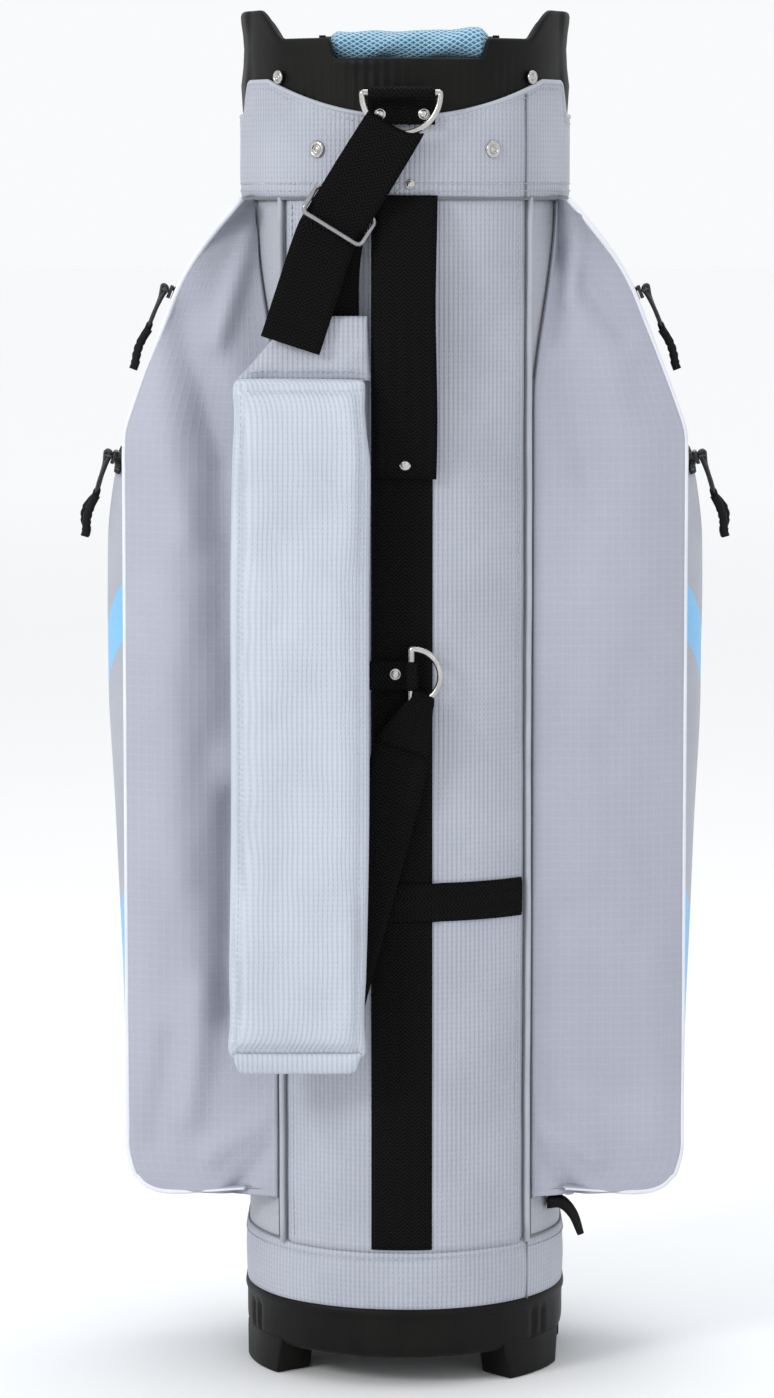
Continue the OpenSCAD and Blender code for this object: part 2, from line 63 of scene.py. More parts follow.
# ---- Driving sizes, in millimetres ----
FLANK = 16.0  # half the flat side between the oval's two round ends
TUBE_R = 101.3  # radius of the round ends at the cover
PANEL_R = 102.8  # the same at the spine panel
WEB_R = 104.6  # at the spine webbing
CUFF_R = 102.7  # at the cuff, the base band and the boot
COLLAR_R = 105.5  # at the collar
BAND_Z = 89.0  # top of the base band
COLLAR_Z = 753.0  # the collar's lower seam
RIM_Z = 851.5  # the cuff's rim
EAR_Z = 870.0  # the top of its ears
NOTCH_Z = 839.0  # the floor of its hand notch
NOTCH_X = (-47.0, 52.0)  # the notch's two ends
BOOT_TOP = 50.0  # where the boot meets the band
PANEL_X = 75.5  # half the spine panel's width
SPINE_X = -2.0  # the middle of the spine webbing
SPINE_W = 39.0  # its width
STRAP_W = 38.0  # the shoulder strap's width
RING = (-2.5, -132.5, 817.0)  # the middle of the upper ring's bar
RING_R = 24.0  # half the upper ring's width
LOW_RING = (4.0, -128.0, 456.0)  # the middle of the lower ring's bar
LOW_RING_R = 17.0  # half the length of that bar
WIRE_R = 2.0  # half the rings' wire
STRAP_A = math.radians(31.7)  # the strap's slant from upright
TAIL_A = math.radians(18.0)  # the loose tail's slant
# Webbing's thickness, the radius of a tab folded round a bar, the height of the pad's folded end
WEB_T = 1.5
EYE_R = 3.1
PAD_FOLD = 10.0
# Zips: heights on the side pockets, and how far below its top on a front pocket
UPPER_ZIP_Z = 692.0
LOWER_ZIP_Z = 585.0
ZIP_DROP = 22.0
# Side pockets: the bulge of the side panel, the strength of the folds, points down the profile
BULGE_POWER = 2.4
FOLD_DEPTH = 2.7
DOWN_POINTS = 130

ACROSS = (1, 0, 0)
DEEP = (0, 1, 0)
UP = (0, 0, 1)


# ---- Small numeric helpers ----

def smooth(a, b, x):
    """0 before a, 1 after b, and a smooth step between them."""
    t = np.clip((np.asarray(x, float) - a) / (b - a), 0, 1)
    return t * t * (3 - 2 * t)


def bump(x, centre, width):
    """A soft hill of height 1."""
    return np.exp(-((np.asarray(x, float) - centre) / width) ** 2)


WAVES = np.random.RandomState(7).normal(size=(10, 4))


def soft_noise(x, y, z, size):
    """Slow smooth variation from about -1 to 1: ten fixed waves of about that size."""
    total = 0
    for a, b, c, phase in WAVES:
        total = total + np.sin(2 * math.pi * (a * x + b * y + c * z) / (1.7 * size) + 5 * phase)
    return total / 4.5


def catmull(points, steps):
    """A smooth curve through the points, with steps samples to a span."""
    p = np.asarray(points, float)
    p = np.vstack([2 * p[0] - p[1], p, 2 * p[-1] - p[-2]])
    out = []
    for i in range(1, len(p) - 2):
        for t in np.arange(steps) / steps:
            out.append(0.5 * (2 * p[i] + (p[i + 1] - p[i - 1]) * t
                              + (2 * p[i - 1] - 5 * p[i] + 4 * p[i + 1] - p[i + 2]) * t ** 2
                              + (3 * p[i] - p[i - 1] - 3 * p[i + 1] + p[i + 2]) * t ** 3))
    out.append(p[-2])
    return np.array(out)


def arc_lengths(p):
    """The length along a line of points, at each of them."""
    return np.concatenate([[0], np.cumsum(np.linalg.norm(np.diff(p, axis=0), axis=1))])


def oval_at(r, u):
    """Points and outward normals on an oval, u mm round it from the middle of its -Y side, towards +X."""
    u = np.asarray(u, float)
    side, a = np.sign(u), np.abs(u)
    quarter = math.pi * r / 2
    back = a / r
    fore = (a - quarter - 2 * FLANK) / r
    x = np.where(a < quarter, r * np.sin(back), np.where(a < quarter + 2 * FLANK, r, r * np.cos(fore)))
    y = np.where(a < quarter, -FLANK - r * np.cos(back),
                 np.where(a < quarter + 2 * FLANK, a - quarter - FLANK, FLANK + r * np.sin(fore)))
    nx = np.where(a < quarter, np.sin(back), np.where(a < quarter + 2 * FLANK, 1, np.cos(fore)))
    ny = np.where(a < quarter, -np.cos(back), np.where(a < quarter + 2 * FLANK, 0, np.sin(fore)))
    return x * side, y, nx * side, ny


def oval_length(r):
    """The way once round the oval."""
    return 2 * math.pi * r + 4 * FLANK


def wall_u(r, x):
    """The place u on the back of the oval that lies at that x."""
    return r * math.asin(x / r)


def wall_line(r, u, z):
    """A line on the oval through the places u at the heights z, and its outward directions."""
    x, y, nx, ny = oval_at(r, u)
    return np.stack([x, y, z + 0 * x], -1), np.stack([nx, ny, 0 * nx], -1)


def box_mm(node):
    """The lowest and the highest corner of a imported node, in millimetres."""
    lo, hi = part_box(node)
    return np.array(lo) / MM, np.array(hi) / MM


def ring_angles(n):
    """Angles of n points evenly round a circle."""
    return np.arange(n) * 2 * math.pi / n


# ---- Mesh helpers: points in millimetres, objects in metres ----

def mesh_object(name, verts, faces, material, cloth=None, smooth_shade=True):
    """A mesh with its own cloth coordinates (in metres) for woven and embossed materials."""
    me = bpy.data.meshes.new(name)
    me.from_pydata([tuple(v) for v in np.asarray(verts, float) * MM], [], faces)
    if cloth is not None:
        attribute = me.attributes.new("cloth", "FLOAT_VECTOR", "POINT")
        data = np.zeros((len(verts), 3), np.float32)
        data[:, :2] = np.asarray(cloth, float).reshape(-1, 2) * MM
        attribute.data.foreach_set("vector", data.ravel())
    me.validate()
    me.polygons.foreach_set("use_smooth", [smooth_shade] * len(me.polygons))
    obj = bpy.data.objects.new(name, me)
    bpy.context.scene.collection.objects.link(obj)
    me.materials.append(material)
    return obj


def face_out(obj):
    """Turns every face of a closed piece outwards."""
    mesh = bmesh.new()
    mesh.from_mesh(obj.data)
    bmesh.ops.recalc_face_normals(mesh, faces=mesh.faces)
    mesh.to_mesh(obj.data)
    mesh.free()
    return obj


def grid_faces(nu, nv, wrap_u=False, wrap_v=False, flip=False):
    """The quads of a grid of nu rows with nv points each."""
    rows = np.arange(nu if wrap_u else nu - 1)
    columns = np.arange(nv if wrap_v else nv - 1)
    i, j = np.meshgrid(rows, columns, indexing="ij")
    i2, j2 = (i + 1) % nu, (j + 1) % nv
    quads = np.stack([i * nv + j, i2 * nv + j, i2 * nv + j2, i * nv + j2], -1).reshape(-1, 4)
    return (quads[:, ::-1] if flip else quads).tolist()


def end_caps(n, m):
    """The two end faces of a tube of n rings with m points each."""
    return [list(range(m)), [(n - 1) * m + k for k in range(m)][::-1]]


def skin(name, points, material, cloth, thick=1.2, wrap_u=False, flip=False):
    """A sheet through a grid of points, given a thickness on its inner side."""
    nu, nv = points.shape[:2]
    obj = mesh_object(name, points.reshape(-1, 3), grid_faces(nu, nv, wrap_u, flip=flip), material, cloth)
    if thick:
        solid = obj.modifiers.new("thickness", "SOLIDIFY")
        solid.thickness = thick * MM
        solid.offset = -1
        solid.use_even_offset = False
    return obj


def round_section(r, n=12, deep=None):
    """A circle, or an ellipse if its second half width is given."""
    a = ring_angles(n)
    return np.stack([r * np.cos(a), (deep or r) * np.sin(a)], 1)


def soft_square(half_w, half_h, a, power_w, power_h):
    """An ellipse drawn out towards its corners; lower powers make squarer sides."""
    c, s = np.cos(a), np.sin(a)
    return np.stack([half_w * np.sign(c) * np.abs(c) ** power_w,
                     half_h * np.sign(s) * np.abs(s) ** power_h], 1)


def strap_section(width, thick, n=9):
    """A webbing's section: flat, with rounded, slightly fuller edges."""
    across = np.linspace(-0.5, 0.5, n) * width
    half = thick / 2 * (1 + 0.18 * bump(np.abs(across), width / 2 - 1.5, 1.2))
    half[[0, -1]] *= 0.45
    return np.vstack([np.stack([across, half], 1), np.stack([across, -half], 1)[::-1]])


def sweep(name, path, section, material, side=ACROSS, closed=False, scale=1.0):
    """A section carried along a path. Its first axis lies along side, its second on the normal."""
    path, section = np.asarray(path, float), np.asarray(section, float)
    n, m = len(path), len(section)
    ahead = np.roll(path, -1, 0) - np.roll(path, 1, 0)
    if not closed:
        ahead[0], ahead[-1] = path[1] - path[0], path[-1] - path[-2]
    tangent = ahead / np.linalg.norm(ahead, axis=1)[:, None]
    sides = np.broadcast_to(np.asarray(side, float), (n, 3)).copy()
    sides -= (sides * tangent).sum(1)[:, None] * tangent
    sides /= np.linalg.norm(sides, axis=1)[:, None]
    normal = np.cross(tangent, sides)
    scale = np.asarray(scale, float)
    scale = np.broadcast_to(scale.reshape(n, -1) if scale.ndim else scale, (n, 2))
    verts = (path[:, None, :] + sides[:, None, :] * (section[None, :, :1] * scale[:, None, :1])
             + normal[:, None, :] * (section[None, :, 1:] * scale[:, None, 1:]))
    cloth = np.stack(np.broadcast_arrays(section[None, :, 0], arc_lengths(path)[:, None]), -1)
    faces = grid_faces(n, m, wrap_u=closed, wrap_v=True)
    if not closed:
        faces += end_caps(n, m)
    return face_out(mesh_object(name, verts.reshape(-1, 3), faces, material, cloth))


def lathe(name, profile, material, origin, normal, n=24):
    """A turned piece: profile is [radius, height] along the normal, from its rim to its middle."""
    a = ring_angles(n)[:, None]
    radius, height = np.asarray(profile, float).T[:, None, :]
    verts = np.stack(np.broadcast_arrays(radius * np.cos(a), radius * np.sin(a), height), -1).reshape(-1, 3)
    turn = np.array(Vector(normal).to_track_quat("Z", "Y").to_matrix())
    verts = verts @ turn.T + np.asarray(origin, float)
    return face_out(mesh_object(name, verts, grid_faces(n, len(profile), wrap_u=True), material))


def joined(name, objects):
    """One object from several, with their modifiers applied."""
    graph = bpy.context.evaluated_depsgraph_get()
    bpy.context.view_layer.update()
    graph.update()
    for o in objects:
        if o.modifiers:
            me = bpy.data.meshes.new_from_object(o.evaluated_get(graph), depsgraph=graph)
            o.modifiers.clear()
            o.data = me
    if len(objects) > 1:
        with bpy.context.temp_override(active_object=objects[0], selected_editable_objects=objects):
            bpy.ops.object.join()
    objects[0].name = name
    objects[0].data.name = name
    return objects[0]


def stitch_row(path, out, material, pitch=4.2, length=3.0, r=0.42, lift=0.25, name="stitches"):
    """Separate short threads along a path; out is the outward direction at each point of it."""
    path, out = np.asarray(path, float), np.broadcast_to(np.asarray(out, float), np.shape(path))
    s = arc_lengths(path)
    count = max(1, int(s[-1] / pitch))
    along = np.array([-0.5, -0.38, 0, 0.38, 0.5]) * length
    fat = np.array([0.25, 0.85, 1.0, 0.85, 0.25]) * r
    around = ring_angles(6)
    rings, n = len(along), len(around)
    thread = np.array(grid_faces(rings, n, wrap_v=True))[:, ::-1]
    verts, faces, cloth = [], [], []

    def at(q, line):
        return np.array([np.interp(q, s, line[:, k]) for k in range(3)])

    for mid in (np.arange(count) + 0.5) * s[-1] / count:
        t = at(mid + length / 2, path) - at(mid - length / 2, path)
        t /= np.linalg.norm(t) + 1e-9
        o = at(mid, out)
        o /= np.linalg.norm(o)
        w = np.cross(t, o)
        centre = at(mid, path) + o * lift
        base = len(verts)
        for d, f in zip(along, fat):
            verts += [centre + t * d + (o * math.cos(g) + w * math.sin(g)) * f for g in around]
            cloth += [(mid + d, f * g) for g in around]
        faces += (thread + base).tolist()
        faces += [[base + k for k in face[::-1]] for face in end_caps(rings, n)]
    return mesh_object(name, verts, faces, material, cloth)


# ---- Materials ----

class Shader:
    """A Principled material with short calls for its nodes."""

    def __init__(self, name, roughness=0.6, **sockets):
        self.mat = bpy.data.materials.new(name)
        self.mat.use_nodes = True
        self.tree = self.mat.node_tree
        self.bsdf = self.tree.nodes["Principled BSDF"]
        self.bsdf.inputs["Roughness"].default_value = roughness
        for key, value in sockets.items():
            self.bsdf.inputs[key.replace("_", " ")].default_value = value

    def node(self, kind, **values):
        node = self.tree.nodes.new(kind)
        for key, value in values.items():
            setattr(node, key, value)
        return node

    def link(self, source, target):
        if isinstance(source, (int, float, tuple)):
            target.default_value = source
        else:
            self.tree.links.new(source, target)

    def math(self, operation, a, b=0.0, c=0.0):
        node = self.node("ShaderNodeMath", operation=operation)
        for value, socket in zip((a, b, c), node.inputs):
            self.link(value, socket)
        return node.outputs[0]

    def mix(self, factor, a, b):
        node = self.node("ShaderNodeMix", data_type="RGBA")
        self.link(factor, node.inputs["Factor"])
        self.link(a, node.inputs[6])
        self.link(b, node.inputs[7])
        return node.outputs[2]

    def cloth(self):
        """The piece's cloth coordinates, in metres: across, along."""
        node = self.node("ShaderNodeAttribute", attribute_name="cloth")
        split = self.node("ShaderNodeSeparateXYZ")
        self.tree.links.new(node.outputs["Vector"], split.inputs[0])
        return split.outputs[0], split.outputs[1]

    def place(self):
        """The place in the row frame, in metres."""
        return self.node("ShaderNodeTexCoord").outputs["Object"]

    def noise(self, size, detail=3.0, stretch=(1, 1, 1)):
        """Noise with blotches of about that size in millimetres."""
        scale = self.node("ShaderNodeVectorMath", operation="MULTIPLY")
        self.tree.links.new(self.place(), scale.inputs[0])
        scale.inputs[1].default_value = [k / (size * MM) for k in stretch]
        node = self.node("ShaderNodeTexNoise")
        node.inputs["Scale"].default_value = 1.0
        node.inputs["Detail"].default_value = detail
        self.tree.links.new(scale.outputs[0], node.inputs["Vector"])
        return node.outputs["Fac"]

    def wave(self, coordinate, pitch, phase=0.0):
        """A sine from -1 to 1 with that pitch in millimetres."""
        angle = self.math("MULTIPLY_ADD", coordinate, 2 * math.pi / (pitch * MM), phase)
        return self.math("SINE", angle)

    def range(self, value, lo, hi, to_lo, to_hi):
        node = self.node("ShaderNodeMapRange")
        self.link(value, node.inputs[0])
        for k, v in enumerate((lo, hi, to_lo, to_hi)):
            node.inputs[k + 1].default_value = v
        return node.outputs[0]

    def color(self, value):
        self.link(value, self.bsdf.inputs["Base Color"])

    def rough(self, value):
        self.link(value, self.bsdf.inputs["Roughness"])

    def bumps(self, *layers):
        """Bump layers: (height, depth in millimetres)."""
        last = None
        for height, depth in layers:
            node = self.node("ShaderNodeBump")
            node.inputs["Distance"].default_value = depth * MM
            self.link(height, node.inputs["Height"])
            if last is not None:
                self.tree.links.new(last, node.inputs["Normal"])
            last = node.outputs["Normal"]
        self.tree.links.new(last, self.bsdf.inputs["Normal"])
        return self.mat


def vinyl_material(name, light, dark, pitch=3.1, depth=0.2):
    """Embossed vinyl: upright wavy ribs that meet in long cells."""
    s = Shader(name, 0.5, Sheen_Weight=0.05, Specular_IOR_Level=0.4)
    u, v = s.cloth()
    drift = s.noise(38, 2.0)
    sway = s.math("MULTIPLY", s.wave(v, 2.1 * pitch), s.range(drift, 0.3, 0.7, 0.7, 1.5))
    turn = 2 * math.pi / (pitch * MM)
    left = s.math("SINE", s.math("MULTIPLY_ADD", u, turn, sway))
    right = s.math("SINE", s.math("MULTIPLY_ADD", u, turn, s.math("MULTIPLY", sway, -1.0)))
    cells = s.math("MAXIMUM", left, right)
    grain = s.noise(0.8, 2.0)
    cloud = s.noise(55, 4.0)
    tone = s.range(cells, -0.3, 1.0, 0.25, 0.75)
    tone = s.math("ADD", tone, s.range(cloud, 0.3, 0.7, -0.22, 0.22))
    s.color(s.mix(tone, dark, light))
    s.rough(s.range(cells, -0.2, 1.0, 0.62, 0.45))
    return s.bumps((cells, depth), (grain, 0.04), (s.noise(22, 3.0), 0.5))


def ripstop_material(name, light, dark, seam_pitch=5.5):
    """Smooth ripstop: a fine plain weave crossed by heavier threads."""
    s = Shader(name, 0.55, Sheen_Weight=0.15)
    u, v = s.cloth()
    weave = s.math("MULTIPLY", s.wave(u, 1.1), s.wave(v, 1.1))
    heavy = s.math("MAXIMUM", s.math("POWER", s.math("ABSOLUTE", s.wave(u, 2 * seam_pitch)), 14.0),
                   s.math("POWER", s.math("ABSOLUTE", s.wave(v, 2 * seam_pitch)), 14.0))
    cloud = s.noise(90, 3.0)
    tone = s.math("MULTIPLY_ADD", heavy, 0.25, s.range(cloud, 0.3, 0.7, 0.35, 0.75))
    s.color(s.mix(tone, dark, light))
    s.rough(s.range(cloud, 0.3, 0.7, 0.5, 0.62))
    return s.bumps((heavy, 0.12), (weave, 0.06), (s.noise(14, 2.0), 0.25))


def panel_material(name, grey_light, grey_dark, blue, blue_dark):
    """The side panel: ripstop with two slanted blue colour blocks."""
    s = Shader(name, 0.55, Sheen_Weight=0.15)
    u, v = s.cloth()
    slope = s.math("MULTIPLY_ADD", u, 0.9, v)
    low = s.math("MULTIPLY", s.math("GREATER_THAN", slope, 0.150), s.math("LESS_THAN", slope, 0.268))
    high = s.math("MULTIPLY", s.math("GREATER_THAN", slope, 0.425), s.math("LESS_THAN", slope, 0.462))
    block = s.math("MAXIMUM", low, high)
    heavy = s.math("POWER", s.math("ABSOLUTE", s.wave(v, 11.0)), 14.0)
    weave = s.math("MULTIPLY", s.wave(u, 1.1), s.wave(v, 1.1))
    cloud = s.range(s.noise(80, 3.0), 0.3, 0.7, 0.2, 0.8)
    s.color(s.mix(block, s.mix(cloud, grey_dark, grey_light), s.mix(cloud, blue_dark, blue)))
    s.rough(s.range(s.noise(30, 2.0), 0.3, 0.7, 0.5, 0.62))
    return s.bumps((heavy, 0.1), (weave, 0.06))


def webbing_material(name, light, dark):
    """Heavy woven webbing: a herringbone of slanted floats and fuller edges."""
    s = Shader(name, 0.62, Specular_IOR_Level=0.07)
    u, v = s.cloth()
    fold = s.math("ABSOLUTE", s.math("WRAP", u, 4.5 * MM, -4.5 * MM))
    floats = s.wave(s.math("ADD", v, fold), 2.6)
    threads = s.wave(u, 1.3)
    pick = s.wave(v, 2.1)
    height = s.math("MULTIPLY_ADD", threads, 0.35, s.math("MULTIPLY_ADD", pick, 0.3, floats))
    s.color(s.mix(s.range(height, -1.2, 1.4, 0.0, 1.0), dark, light))
    s.rough(s.range(height, -1.0, 1.0, 0.78, 0.52))
    return s.bumps((height, 0.22), (s.noise(5, 2.0), 0.15))


def mesh_material(name, light, dark):
    """Spacer mesh: pale threads round dark diamond holes."""
    s = Shader(name, 0.6, Sheen_Weight=0.3)
    u, v = s.cloth()
    one = s.wave(s.math("MULTIPLY_ADD", u, 0.62, v), 3.1)
    two = s.wave(s.math("MULTIPLY_ADD", u, -0.62, v), 3.1)
    net = s.math("MAXIMUM", one, two)
    tone = s.range(net, 0.0, 0.85, 0.0, 1.0)
    s.color(s.mix(tone, dark, light))
    s.rough(s.range(net, 0.0, 1.0, 0.8, 0.5))
    return s.bumps((net, 0.5), (s.noise(1.2, 2.0), 0.1))


def plastic_material(name, light, dark, roughness=0.42):
    """Moulded plastic: a fine spark texture, faint flow marks and scuffed patches."""
    s = Shader(name, roughness, Specular_IOR_Level=0.13)
    spark = s.noise(0.7, 2.0)
    flow = s.noise(28, 4.0, (1, 1, 0.35))
    s.color(s.mix(s.range(flow, 0.35, 0.7, 0.0, 1.0), dark, light))
    s.rough(s.range(flow, 0.3, 0.7, roughness - 0.06, roughness + 0.14))
    return s.bumps((spark, 0.06), (s.noise(9, 3.0), 0.12))


def metal_material(name, color, dark, roughness, grain=(1, 1, 1)):
    """Plated or satin metal with fine rubbing marks."""
    s = Shader(name, roughness, Metallic=1.0)
    rub = s.noise(2.5, 4.0, grain)
    stain = s.noise(8, 2.0)
    s.color(s.mix(s.range(stain, 0.35, 0.75, 0.0, 0.6), color, dark))
    s.rough(s.range(rub, 0.3, 0.7, roughness * 0.6, roughness * 1.5))
    return s.bumps((rub, 0.015))


def thread_material(name, light, dark):
    """Dull thread with its twist in colour and height."""
    s = Shader(name, 0.55, Sheen_Weight=0.3)
    u, v = s.cloth()
    twist = s.wave(s.math("ADD", u, v), 0.9)
    s.color(s.mix(s.range(twist, -1.0, 1.0, 0.0, 1.0), dark, light))
    return s.bumps((twist, 0.05))


def corded_material(name, light, dark, pitch=1.6):
    """Cord or piping with fine slanted ribs."""
    s = Shader(name, 0.5, Sheen_Weight=0.2)
    u, v = s.cloth()
    ribs = s.wave(s.math("MULTIPLY_ADD", u, 0.7, v), pitch)
    cloud = s.noise(25, 3.0)
    s.color(s.mix(s.math("MULTIPLY_ADD", ribs, 0.2, s.range(cloud, 0.3, 0.7, 0.3, 0.8)), dark, light))
    return s.bumps((ribs, 0.06))


VINYL = vinyl_material("embossed_vinyl", (0.435, 0.46, 0.525, 1), (0.315, 0.335, 0.39, 1))
PAD_VINYL = vinyl_material("pad_vinyl", (0.53, 0.57, 0.65, 1), (0.42, 0.455, 0.525, 1))
PLAIN_VINYL = ripstop_material("smooth_vinyl", (0.42, 0.44, 0.49, 1), (0.35, 0.37, 0.42, 1))
RIPSTOP = ripstop_material("ripstop", (0.40, 0.415, 0.49, 1), (0.32, 0.335, 0.40, 1))
PANEL = panel_material("side_panel", (0.38, 0.40, 0.46, 1), (0.31, 0.33, 0.39, 1),
                       (0.20, 0.52, 0.83, 1), (0.15, 0.43, 0.74, 1))
WEBBING = webbing_material("webbing", (0.0055, 0.0056, 0.005, 1), (0.001, 0.001, 0.001, 1))
MESH = mesh_material("spacer_mesh", (0.31, 0.56, 0.73, 1), (0.055, 0.18, 0.29, 1))
PLASTIC = plastic_material("moulded_plastic", (0.0075, 0.007, 0.006, 1), (0.0028, 0.0027, 0.0025, 1), 0.46)
SHEET = plastic_material("tube_plastic", (0.05, 0.05, 0.055, 1), (0.03, 0.03, 0.033, 1), 0.5)
NICKEL = metal_material("nickel", (0.52, 0.51, 0.49, 1), (0.30, 0.29, 0.28, 1), 0.24)
SATIN = metal_material("satin_metal", (0.34, 0.34, 0.35, 1), (0.24, 0.24, 0.25, 1), 0.34, (1, 1, 6))
DARK_METAL = metal_material("dark_metal", (0.07, 0.07, 0.075, 1), (0.03, 0.03, 0.03, 1), 0.35)
RUBBER = plastic_material("pull_rubber", (0.010, 0.010, 0.011, 1), (0.004, 0.004, 0.004, 1), 0.5)
TAPE = webbing_material("zip_tape", (0.02, 0.02, 0.022, 1), (0.006, 0.006, 0.006, 1))
LINER = ripstop_material("divider_fabric", (0.04, 0.04, 0.044, 1), (0.018, 0.018, 0.02, 1))
PIPING = corded_material("white_piping", (0.78, 0.79, 0.84, 1), (0.62, 0.64, 0.70, 1))
GREY_PIPING = corded_material("grey_piping", (0.43, 0.46, 0.51, 1), (0.33, 0.35, 0.40, 1))
CORD = corded_material("black_cord", (0.012, 0.012, 0.012, 1), (0.004, 0.004, 0.004, 1), 1.0)
THREAD = thread_material("light_thread", (0.56, 0.59, 0.66, 1), (0.42, 0.45, 0.51, 1))
DARK_THREAD = thread_material("dark_thread", (0.02, 0.02, 0.021, 1), (0.008, 0.008, 0.009, 1))
# seam_shadow: the thin dark cords laid along the seams are painted shade, standing in for the shadow in the
# grooves between panels
SEAM_SHADE = thread_material("seam_shadow", (0.17, 0.18, 0.21, 1), (0.11, 0.118, 0.14, 1))


def finish_piece(obj, body, slot, *nodes):
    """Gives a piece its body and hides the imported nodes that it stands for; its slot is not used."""
    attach(obj, body)
    if nodes:
        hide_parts(*nodes)
    return obj


# ---- Tube, panel, bands ----

def oval_patch(name, r, u0, u1, z, nu, material, thick, wobble=0.0, grow=None):
    """A patch of the tube's wall: z is a list of heights, or a function of u that gives one."""
    u = np.linspace(u0, u1, nu)
    zs = np.array([z(q) for q in u]) if callable(z) else np.broadcast_to(np.asarray(z, float), (nu, len(z)))
    uu = np.broadcast_to(u[:, None], zs.shape)
    x, y, nx, ny = oval_at(r, uu)
    out = wobble * soft_noise(x, y, zs, 55)
    if grow is not None:
        out = out + grow(uu, zs, x, y)
    points = np.stack([x + nx * out, y + ny * out, zs], -1)
    return skin(name, points, material, np.stack([uu, zs], -1), thick)


def make_cover():
    """The cover round the whole tube, and the embossed panel down its back."""
    half = oval_length(TUBE_R) / 2
    heights = np.linspace(BOOT_TOP - 2, COLLAR_Z + 3, 80)
    cover = oval_patch("body_cover_cloth", TUBE_R - 0.3, -half, half, heights, 150, PLAIN_VINYL, 1.5, 0.25)
    finish_piece(cover, "bag", "embossed_vinyl", "body_cover")
    edge = wall_u(PANEL_R, PANEL_X)

    def soften(u, z, x, y):
        tuck = -1.0 * bump(np.abs(u), edge, 2.5)
        dimple = -0.5 * bump(z, 590, 40) * bump(np.abs(u), 45, 25)
        return tuck + dimple + 0.25 * soft_noise(x, y, z * 0.5, 30)

    heights = np.linspace(BAND_Z - 1, COLLAR_Z + 1, 150)
    panel = oval_patch("spine_panel_cloth", PANEL_R, -edge, edge, heights, 64, VINYL, 1.3, grow=soften)
    finish_piece(panel, "bag", "embossed_vinyl", "spine_panel")


def upright(r, x, z0, z1, n=40, wobble=0.25):
    """An upright line on the back of the tube, and its outward directions."""
    z = np.linspace(z0, z1, n)
    sway = wobble * np.sin(z / 37.0) + 0.5 * wobble * np.sin(z / 11.0)
    return wall_line(r, wall_u(r, x) + sway, z)


def make_spine_seams():
    """The two corded seams beside the panel, dark lines of painted shade along the seams and the stitch rows.
    """
    parts = []
    for s in (-1, 1):
        path, _ = upright(TUBE_R + 2.2, s * (PANEL_X + 2.6), BAND_Z - 1, COLLAR_Z)
        parts.append(sweep("spine_piping_cord", path, round_section(1.9), GREY_PIPING))
    finish_piece(joined("spine_piping_cords", parts), "bag", "embossed_vinyl", "spine_piping")
    lines, rows = [], []
    for s in (-1, 1):
        for x, top in ((PANEL_X + 0.3, COLLAR_Z - 1), (PANEL_X + 4.9, 640.0)):
            path, _ = upright(TUBE_R + 0.9, s * x, BAND_Z, top)
            # painted shade: a thin dark cord along each seam stands in for the shadow in its groove
            lines.append(sweep("seam", path, round_section(0.5, 8), SEAM_SHADE))
        path, out = upright(PANEL_R, s * (PANEL_X - 4.5), BAND_Z + 4, COLLAR_Z - 4, wobble=0.5)
        rows.append(stitch_row(path, out, THREAD))
    finish_piece(joined("spine_seam_shade_lines", lines), "bag", "embossed_vinyl")
    finish_piece(joined("spine_stitches", rows), "bag", "embossed_vinyl")


def make_band():
    """The embossed band over the boot, dark lines of painted shade along its seams, and its stitches."""
    half = oval_length(CUFF_R) / 2

    def round_over(u, z, x, y):
        return 0.9 * bump(z, 70, 18) - 1.2 * smooth(BAND_Z - 3, BAND_Z + 0.5, z) - 1.0 * smooth(54, 48, z)

    heights = np.linspace(BOOT_TOP - 3, BAND_Z + 0.5, 30)
    band = oval_patch("base_band_cloth", CUFF_R - 0.4, -half, half, heights, 160, VINYL, 1.3, 0.3, round_over)
    finish_piece(band, "bag", "embossed_vinyl", "base_band")
    u = np.linspace(-half, half, 200)
    level = 0.5 * np.sin(u / 40)
    path, _ = wall_line(CUFF_R - 0.9, u, BAND_Z + 0.6 + level)
    # painted shade: a dark cord along the band's top seam stands in for the shadow in its groove
    finish_piece(sweep("base_seam_shade_line", path, round_section(0.8, 8), SEAM_SHADE, UP), "bag", "embossed_vinyl")
    path, out = wall_line(CUFF_R + 0.3, u, BAND_Z - 5 + level)
    rows = [stitch_row(path, out, THREAD)]
    path, _ = upright(CUFF_R + 0.1, PANEL_X + 2.5, BOOT_TOP, BAND_Z, 10, 0.0)
    # painted shade: a dark cord down the band's upright seam stands in for the shadow in its groove
    rows.append(sweep("seam", path, round_section(0.7, 8), SEAM_SHADE))
    finish_piece(joined("base_band_stitches_and_seam_shade", rows), "bag", "embossed_vinyl")


# ---- Boot ----

# Each foot's stretch of the boot, as angles from +X about the centre of its end of the oval
FOOT_MIDDLES = (-33, 201, 147, 21)
FOOT_HALF = 19
FEET = [(a - FOOT_HALF, a + FOOT_HALF) for a in FOOT_MIDDLES]


def ring_profile(name, profile, nu, material, move=None):
    """A closed profile of [radius, height] points carried round the oval."""
    prof = np.asarray(profile, float)
    half = oval_length(100) / 2
    u = np.linspace(-half, half, nu, endpoint=False)
    points = np.zeros((nu, len(prof), 3))
    for j, (r, z) in enumerate(prof):
        x, y, nx, ny = oval_at(r, u * oval_length(r) / oval_length(100))
        out = move(x, y, z, r) if move else 0
        points[:, j] = np.stack([x + nx * out, y + ny * out, z + 0 * x], 1)
    cloth = np.stack(np.broadcast_arrays(u[:, None], arc_lengths(prof)[None, :]), -1)
    return mesh_object(name, points.reshape(-1, 3), grid_faces(nu, len(prof), True, True), material, cloth)


def foot_angle(x, y):
    """The angle of a point about the centre of its end of the oval."""
    return np.degrees(np.arctan2(y - np.sign(y) * FLANK, x))


